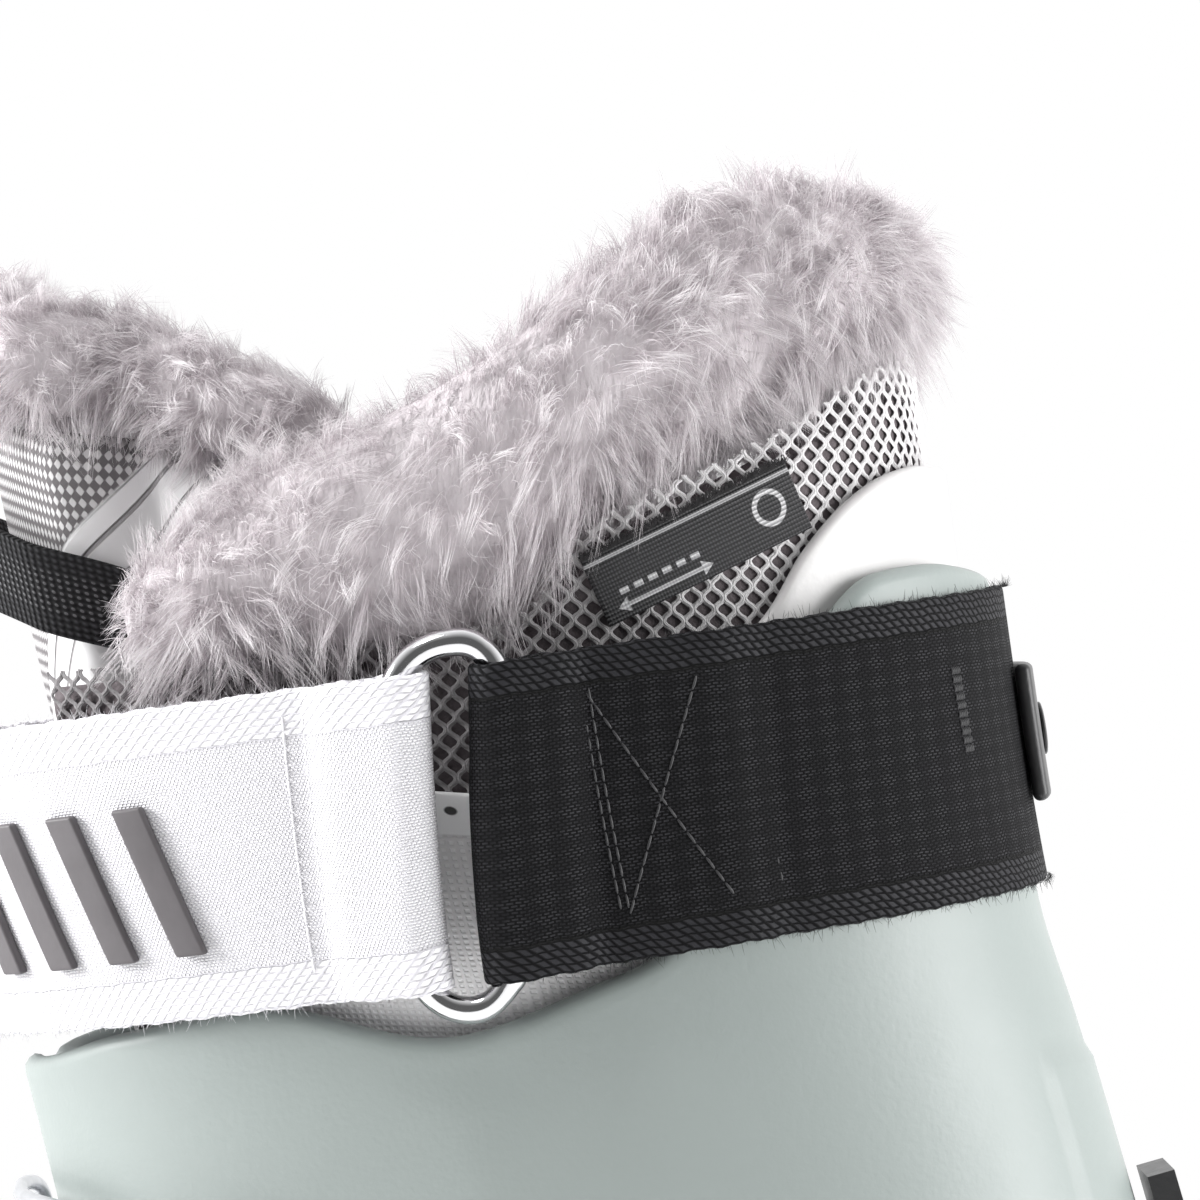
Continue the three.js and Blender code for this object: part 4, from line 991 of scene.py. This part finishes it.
black_web = Finish("black_jacquard", Roughness=0.8, Specular_IOR_Level=0.14)
u_flat, v_flat = black_web.flat()
row = v_flat / 0.46
brick = (row - row.remainder()) * 0.5
dash_long = (u_flat / 1.05 + brick).remainder()
dash = dash_long.pulse(0.08, 0.24, 0.76, 0.94)
row_shape = row.remainder().pulse(0.05, 0.35, 0.65, 0.95)
diamond = ((u_flat * 0.7 + v_flat * 1.1).wave() * (u_flat * 0.7 - v_flat * 1.1).wave()).between(-0.35, 0.5)
centre_weave = dash * row_shape * (0.30 + diamond * 0.7)
selvage = v_flat.size().between(17.4, 17.7)
cord_u = (u_flat * 0.62 + v_flat * 0.62).remainder()
cord_v = (v_flat * 0.9).remainder()
twill = cord_u.pulse(0.05, 0.3, 0.7, 0.95) * cord_v.pulse(0, 0.2, 0.8, 1.0)
weave = centre_weave * (1 - selvage) + twill * selvage
groove = (v_flat.size() - 17.5).size().between(0.4, 0.15)
patchy = 0.55 + black_web.noise(260.0, 3.0) * 0.9
black_colour = black_web.mix(weave * patchy, (0.0015, 0.0015, 0.002), (0.021, 0.021, 0.024))
# Painted shade: the groove between the middle and the selvage is painted darker.
black_web.paint(groove * 0.8, black_colour, (0.004, 0.004, 0.004))
black_web.set(Roughness=0.8 - weave * 0.22)
black_web.bump(weave - groove * 1.5 + black_web.noise(1800.0, 2.0) * 0.25, 0.00028)
webbing("rear_webbing", rear_route, black_web, "black_web", "strap_rear_web")

white_web = Finish("white_satin", Roughness=0.6, Specular_IOR_Level=0.4)
u_flat, v_flat = white_web.flat()
cell_u = (u_flat / 0.62 + (v_flat / 0.42 - (v_flat / 0.42).remainder()) * 0.4).remainder()
cell_v = (v_flat / 0.42).remainder()
satin = cell_u.pulse(0.0, 0.3, 0.7, 1.0) * cell_v.pulse(0.0, 0.35, 0.65, 1.0)
band = v_flat.size().between(15.8, 16.1)
cord_u = (u_flat * 0.55 + v_flat * 0.55).remainder()
cord_v = (v_flat * 1.0).remainder()
twill = cord_u.pulse(0.05, 0.3, 0.7, 0.95) * cord_v.pulse(0, 0.2, 0.8, 1.0)
weave = satin * (1 - band) + twill * band
groove = (v_flat.size() - 15.9).size().between(0.35, 0.1)
white_colour = white_web.mix(weave, (0.63, 0.62, 0.66), (0.87, 0.86, 0.88))
# The mix towards grey is painted shade in the groove beside the edge bands, plus the webbing's own faint
# mottling.
white_web.paint(groove * 0.35 + white_web.noise(9.0, 3.0) * 0.12, white_colour, (0.5, 0.49, 0.53))
white_web.bump(weave - groove + white_web.noise(1800.0, 2.0) * 0.2, 0.0002)
webbing("front_webbing", front_route, white_web, "white_web", "strap_front_web")


def sewn_line(corners, stitch=2.3, lift=0.18, level=OUT_LAYER + STRAP_THICK / 2):
    """Stitches along a line of (s, v) corners on the strap: each rises from the cloth and dips back in."""
    corners = np.array(corners, float)
    lengths = np.concatenate([[0], np.cumsum(np.linalg.norm(np.diff(corners, axis=0), axis=1))])
    starts = np.arange(0, lengths[-1] - stitch, stitch)
    t = np.linspace(0.06, 0.94, 7)
    at = starts[:, None] + t * stitch
    s_at, v_at = (np.interp(at, lengths, corners[:, i]) for i in (0, 1))
    n_at = np.broadcast_to(level - 0.06 + lift * np.sin(t * math.pi), at.shape)
    path = strap_chart(s_at, v_at, n_at)
    return path, unit(strap_chart(s_at, v_at, n_at + 1) - path)


def stitched(name, lines, radius, finish):
    paths = np.concatenate([line[0] for line in lines])
    normals = np.concatenate([line[1] for line in lines])
    ends = np.broadcast_to(np.array([0.5, 0.9, 1, 1, 1, 0.9, 0.5]) * radius, paths.shape[:2])
    strips(name, filaments(paths, normals, ends), finish, "cuff", "black_web")


thread = Finish("black_thread", Roughness=0.55)
thread.paint(thread.noise(2200.0), (0.006, 0.006, 0.007), (0.04, 0.04, 0.043))
box_near, box_far = -BAR_ARC - 11.5, -BAR_ARC - 34
black_lines = []
for shift in (0.0, 1.1):
    black_lines.append(sewn_line([(box_near - shift, 17), (box_near - 3.5 - shift, -17)]))
    black_lines.append(sewn_line([(box_far - shift, 17), (box_far - 3.5 - shift, -17)],
                                 level=IN_LAYER + STRAP_THICK / 2))
black_lines.append(sewn_line([(box_near - 0.6, 16.5), (box_far + 6 - 3.4, -16.5)]))
black_lines.append(sewn_line([(box_far + 6.0, 16.5), (box_near - 4.2, -16.5)]))
for k in range(5):
    tack = -BAR_ARC - 74.0 + k * 0.42
    black_lines.append(sewn_line([(tack, 12), (tack - 1.2, -1)], stitch=1.3,
                                 level=IN_LAYER + STRAP_THICK / 2))
stitched("rear_web_stitches", black_lines, 0.2, thread)
white_thread = Finish("white_thread", Roughness=0.6)
white_thread.paint(white_thread.noise(2200.0), (0.66, 0.65, 0.68), (0.88, 0.87, 0.9))
white_seams = [BAR_ARC + 11 + shift for shift in (0.0, 1.2, 4.0)]
white_lines = [sewn_line([(seam_at, 19), (seam_at, -19)]) for seam_at in white_seams]
stitched("front_web_stitches", white_lines, 0.2, white_thread)

fuzz_rng = np.random.default_rng(21)
for slot, finish, low, high in (("white_web", white_thread, BAR_ARC - 1, BAR_ARC + 120),
                                ("black_web", thread, -BAR_ARC - 120, -BAR_ARC + 1)):
    count = 1500
    s_at = fuzz_rng.uniform(low, high, count)[:, None]
    edge = fuzz_rng.choice([-1.0, 1.0], count)[:, None]
    w = np.linspace(0, 1, 4)
    long = fuzz_rng.exponential(0.45, count)[:, None].clip(0.15, 2.0)
    paths = strap_chart(s_at + fuzz_rng.normal(0, 0.5, (count, 1)) * w, edge * (22.3 + long * w),
                        OUT_LAYER - 0.8 + fuzz_rng.normal(0, 0.45, (count, 1)) * (0.3 + w))
    thin = np.array([0.035, 0.03, 0.025, 0.01])[None, :, None] * np.array([0, 1.0, 0])
    strips(f"{slot}_fuzz", np.stack([paths - thin, paths + thin], 2), finish, "cuff", slot)

chrome = Finish("polished_steel", Metallic=1.0, Base_Color=(0.62, 0.62, 0.63, 1))
chrome.set(Roughness=0.06 + chrome.noise(700.0, 3.0) * 0.1)
chrome.bump(chrome.noise(240.0, 2.0), 0.00004)
ring_inside = STRAP_WIDTH + 3
corner = RING_WIDTH / 2 - RING_WIRE / 2
straight = (ring_inside + 2 * RING_WIRE) / 2 - RING_WIRE / 2 - corner
ring_around, ring_turn = np.meshgrid(np.linspace(0, math.tau, 200, endpoint=False),
                                     np.linspace(0, math.tau, 24, endpoint=False), indexing="ij")
line_s, line_v = corner * np.cos(ring_around), corner * np.sin(ring_around)
shift = straight * np.clip(np.sin(ring_around) * 4, -1, 1)
ring_out = np.cos(ring_turn) * RING_WIRE / 2
ring_points = strap_chart(line_s + np.cos(ring_around) * ring_out,
                          line_v + shift + np.sin(ring_around) * ring_out,
                          RING_OFFSET + np.sin(ring_turn) * RING_WIRE / 2)
ring = add_piece("steel_ring", ring_points.reshape(-1, 3), grid_faces(200, 24, True, True), chrome,
                 "cuff", "chrome")
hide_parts("strap_ring")


def block(place, low, high, radius, cuts=(8, 8, 2)):
    """A box in a chart's coordinates with rounded edges: its points and faces."""
    low, high = np.array(low, float), np.array(high, float)
    half, middle = (high - low) / 2, (high + low) / 2
    radius = min(radius, *(half * 0.98))
    corner_step = radius * np.tan(np.linspace(0, math.pi / 4, 4))
    lines = []
    for axis in range(3):
        inner = np.linspace(-half[axis] + radius, half[axis] - radius, cuts[axis] + 1)
        lines.append(np.concatenate([-half[axis] + radius - corner_step[:0:-1], inner,
                                     half[axis] - radius + corner_step[1:]]))
    points, faces, count = [], [], 0
    for axis in range(3):
        a, b = [k for k in range(3) if k != axis]
        for sign in (-1, 1):
            p, q = np.meshgrid(lines[a], lines[b], indexing="ij")
            cell = np.zeros(p.shape + (3,))
            cell[..., a], cell[..., b], cell[..., axis] = p, q, sign * half[axis]
            points.append(cell.reshape(-1, 3))
            order = 1 if sign * (1, -1, 1)[axis] > 0 else -1
            faces += [tuple(count + k for k in f[::order]) for f in grid_faces(*p.shape)]
            count += p.size
    points = np.concatenate(points)
    core = np.clip(points, -(half - radius), half - radius)
    points = core + unit(points - core) * radius + middle
    shared, first = np.unique(np.round(points, 5), axis=0, return_inverse=True)
    faces = [tuple(int(first[k]) for k in f) for f in faces]
    return place(shared[:, 0], shared[:, 1], shared[:, 2]), [f for f in faces if len(set(f)) == 4]


dark_rubber = Finish("raised_rubber", Roughness=0.5, Specular_IOR_Level=0.5)
dark_rubber.paint(dark_rubber.noise(200.0), (0.065, 0.058, 0.062), (0.10, 0.092, 0.098))
dark_rubber.bump(dark_rubber.noise(900.0), 0.00006)
for k in range(5):
    start = BAR_ARC + 33 + k * 11
    face = OUT_LAYER + STRAP_THICK / 2 + 0.1
    points, faces = block(lambda u, v, n: strap_chart(u + v * 0.28, v - 2, n), (start, -11, face),
                          (start + 4.6, 11, face + 1.5), 0.45, (3, 12, 1))
    bar = add_piece(f"raised_bar_{k + 1}", points, faces, dark_rubber, "cuff", "dark_rubber")
    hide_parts(f"strap_bar_{k + 1}")

# ---------------------------------------------------------------------------------------------
# The strap's rear fixing. A black bevelled plate with a countersunk black screw, which pins the
# webbing to the cuff's spine.
# ---------------------------------------------------------------------------------------------


def moulded_black(name, dark, light, roughness):
    finish = Finish(name, Roughness=roughness, Specular_IOR_Level=0.5)
    finish.paint(finish.noise(240.0, 3.0), dark, light)
    finish.set(Roughness=roughness - 0.05 + finish.noise(500.0, 3.0) * 0.12)
    finish.bump(finish.noise(1100.0, 2.0), 0.00005)
    return finish


black_plastic = moulded_black("black_plastic", (0.010, 0.010, 0.011), (0.020, 0.020, 0.021), 0.42)
rear_arc = STRAP_LONG - RING_ARC
plate_low = 0.8 + STRAP_THICK
points, faces = block(lambda u, v, n: strap_chart(rear_arc + u, v, n), (-13, -10.5, plate_low),
                      (13, 10.5, plate_low + 2.4), 1.1, (14, 10, 1))
plate = add_piece("rear_plate", points, faces, black_plastic, "cuff", "black_plastic")
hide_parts("strap_plate")


def turned(profile, sides=36):
    """A lathe profile of (radius, height) pairs as points about the Z axis, and faces."""
    profile = np.array(profile, float)
    turns = np.linspace(0, math.tau, sides, endpoint=False)
    rings = [np.stack([r * np.cos(turns), r * np.sin(turns), np.full(sides, h)], -1) for r, h in profile]
    points = np.concatenate(rings)
    faces = grid_faces(len(profile), sides, closed_columns=True)
    return points, faces + [tuple(range(sides))[::-1], tuple(range(len(points) - sides, len(points)))]


def socket_screw(radius, height, socket, depth):
    """A domed screw head with a hexagonal-looking recess, standing on z = 0."""
    return turned([(radius * 0.96, 0), (radius, height * 0.2), (radius, height * 0.6),
                   (radius * 0.93, height * 0.85), (radius * 0.8, height), (socket * 1.1, height),
                   (socket, height * 0.95), (socket * 0.95, height - depth), (0.05, height - depth)])


def facing(points, place, outward):
    """Points about the Z axis, moved so that Z runs along outward from place."""
    z = np.array(outward, float) / np.linalg.norm(outward)
    x = unit(np.cross(np.array([0.0, 0.3, 1.0]) if abs(z[1]) < 0.9 else np.array([1.0, 0, 0]), z))
    y = np.cross(z, x)
    return points[:, :1] * x + points[:, 1:2] * y + points[:, 2:] * z + np.array(place)


steel = Finish("brushed_steel", Metallic=1.0)
steel.paint(steel.noise(300.0, 3.0), (0.42, 0.43, 0.45), (0.56, 0.57, 0.59))
steel.set(Roughness=0.25 + steel.noise(800.0, 3.0, stretch=(1, 1, 0.2)) * 0.2)
steel.bump(steel.noise(1500.0, 2.0, stretch=(1, 1, 0.15)), 0.00003)
plate_face = strap_chart(np.array([rear_arc]), np.array([0.0]), np.array([plate_low + 2.4]))[0]
plate_out = leg_normal(np.array([0.0]), np.array([plate_face[2]]))[0]
points, faces = socket_screw(4.0, 0.7, 1.7, 0.5)
plate_screw = add_piece("rear_plate_screw", facing(points, plate_face + plate_out * 0.05, plate_out), faces,
                        black_plastic, "cuff", "steel", smooth_faces=False)
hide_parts("strap_screw")

# ---------------------------------------------------------------------------------------------
# The buckles. Four of the same: a riveted base with two ears, a black lever with a lightened
# face, a bright wire bail and a toothed ladder, each following the shell under it.
# ---------------------------------------------------------------------------------------------
INSTEP_CORE = 45.0


def instep_base(angle, y):
    angle, y = np.broadcast_arrays(np.asarray(angle, float), np.asarray(y, float))
    sideways, upward = np.sin(-angle), np.cos(-angle)
    inside, outside = np.zeros_like(angle), np.full_like(angle, 160.0)
    for _ in range(40):
        reach = (inside + outside) / 2
        z = INSTEP_CORE + upward * reach
        within = (np.abs(sideways * reach) < foot_half(y, z)) & (z < 160)
        inside, outside = np.where(within, reach, inside), np.where(within, outside, reach)
    return np.stack([sideways * inside, y, INSTEP_CORE + upward * inside], -1)


def arc_chart(base, start, level, level_scale, lift=0.0):
    """A chart (u around the boot towards the inner side, v along it, n outwards) from a start angle."""
    steps = np.arange(-159, 160) * 0.01
    ring = base(start + steps, np.full_like(steps, level))
    arc = np.concatenate([[0], np.cumsum(np.linalg.norm(np.diff(ring, axis=0), axis=1))])
    arc = arc - arc[159]

    def chart(u, v, n):
        a, b = start + np.interp(u, arc, steps), level + v * level_scale
        point = base(a, b)
        across = base(a + 0.02, b) - base(a - 0.02, b)
        normal = unit(np.cross(base(a, b + 1) - base(a, b - 1), across))
        normal = np.where(normal[..., 2:] < -0.5, -normal, normal)
        return point + normal * (n + lift)[..., None]
    return chart


PIN, LEVER_LONG, LEVER_HALF, BAIL_HALF, WIRE = 5.4, 46.0, 5.0, 9.9, 1.1


def buckle(name, chart, parent, ladder_drop):
    def piece(label, blocks, finish, body, slot):
        points, faces, count = [], [], 0
        for new_points, new_faces in blocks:
            points.append(new_points)
            faces += [tuple(count + k for k in f) for f in new_faces]
            count += len(new_points)
        made = add_piece(f"{name}_{label}_detail", np.concatenate(points), faces, finish, body, slot)
        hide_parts(f"{name}_{label}")

    ear = LEVER_HALF + 0.5
    base_blocks = [block(chart, (-8, -ear - 1.6, 0.4), (8, ear + 1.6, 1.9), 0.6, (8, 6, 1))]
    for side in (-1, 1):
        edges = sorted((side * ear, side * (ear + 1.6)))
        base_blocks.append(block(chart, (-2.6, edges[0], 1.0), (2.6, edges[1], PIN + 2), 0.7, (3, 1, 4)))
        rivet, rivet_faces = turned([(1.5, 0), (1.5, 0.4), (1.2, 0.8), (0.6, 1.0), (0.02, 1.05)], 20)
        base_blocks.append((chart(rivet[:, 0] + side * 5.6, rivet[:, 1], rivet[:, 2] + 1.85), rivet_faces))
    pin_rod, pin_faces = turned([(1.2, -ear - 1.9), (1.2, ear + 1.9)], 20)
    base_blocks.append((chart(pin_rod[:, 0], pin_rod[:, 2], pin_rod[:, 1] + PIN), pin_faces))
    piece("base", base_blocks, black_plastic, parent, "black_plastic")

    def lever_place(u, v, n):
        waist = 1 - 0.14 * np.exp(-((u + 14) / 9) ** 2) + 0.06 * smooth((-u - 34) / 10)
        tip = 0.8 * smooth((-u - 36) / 10)
        return chart(u, v * waist, n + tip)
    lever_blocks = [block(lever_place, (-LEVER_LONG, -LEVER_HALF, 3.3), (2.1, LEVER_HALF, 7.5), 1.5,
                          (26, 6, 2)),
                    block(lever_place, (-40, -2.9, 7.2), (-20, 2.9, 8.1), 0.4, (10, 3, 1))]
    piece("lever", lever_blocks, black_plastic, f"{name}_lever", "black_plastic")

    around, turn = np.meshgrid(np.linspace(0, math.tau, 120, endpoint=False),
                               np.linspace(0, math.tau, 14, endpoint=False), indexing="ij")
    across, along = signed_power(np.sin(around), 0.3), signed_power(np.cos(around), 0.3)
    out = np.cos(turn) * WIRE
    wire = chart(8 + along * 22 + out * along, across * BAIL_HALF + out * across, PIN + np.sin(turn) * WIRE)
    piece("bail", [(wire.reshape(-1, 3), grid_faces(120, 14, True, True))], steel, f"{name}_bail", "steel")

    ladder_low = 0.9 - ladder_drop
    ladder_blocks = [block(chart, (14, -5.6, ladder_low), (52, 5.6, 2.8), 0.6, (20, 5, 1))]
    for tooth in (18, 26, 34, 42, 50):
        def hook(u, v, n, tooth=tooth):
            return chart(u + 0.35 * (n - 2), v, n)
        ladder_blocks.append(block(hook, (tooth - 1.3, -5.3, 2.2), (tooth + 1.0, 5.3, 5.2), 0.6, (2, 6, 2)))
    piece("ladder", ladder_blocks, steel, parent, "steel")


buckle("buckle_cuff_upper", arc_chart(leg_base, math.radians(163), 182.0, 1), "cuff", LAP_DROP)
buckle("buckle_cuff_lower", arc_chart(leg_base, math.radians(162), 155.0, 1), "cuff", LAP_DROP)
buckle("buckle_instep", arc_chart(instep_base, math.radians(-20), -96.0, -1, 0.5), "shell", 0)
buckle("buckle_toe", arc_chart(instep_base, math.radians(-20), -134.0, -1, 0.5), "shell", 0)

# ---------------------------------------------------------------------------------------------
# The hardware that needs only a finish: rubber soles, steel screws and ankle pivots, the foam
# footbed, boot board and liner foot, and the black walk lever on its base.
# ---------------------------------------------------------------------------------------------
sole_rubber = moulded_black("sole_rubber", (0.022, 0.022, 0.023), (0.045, 0.045, 0.046), 0.75)
foam = Finish("grey_foam", Roughness=0.95, Specular_IOR_Level=0.2)
foam.paint(foam.noise(1200.0, 3.0), (0.09, 0.09, 0.093), (0.16, 0.16, 0.165))
foam.bump(foam.noise(1500.0, 3.0), 0.0004)
hardware = {
    sole_rubber: ["heel_sole", "toe_sole"],
    foam: ["boot_board", "footbed", "liner_foot"],
    steel: ["pivot_bolt_outer", "pivot_bolt_inner", "heel_sole_screw_inner", "heel_sole_screw_outer",
            "toe_sole_screw_inner", "toe_sole_screw_outer"],
    black_plastic: ["walk_base", "walk_lever"],
}
for finish, nodes in hardware.items():
    for node in nodes:
        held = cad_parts[node]
        held.data.materials.clear()
        held.data.materials.append(finish.material)
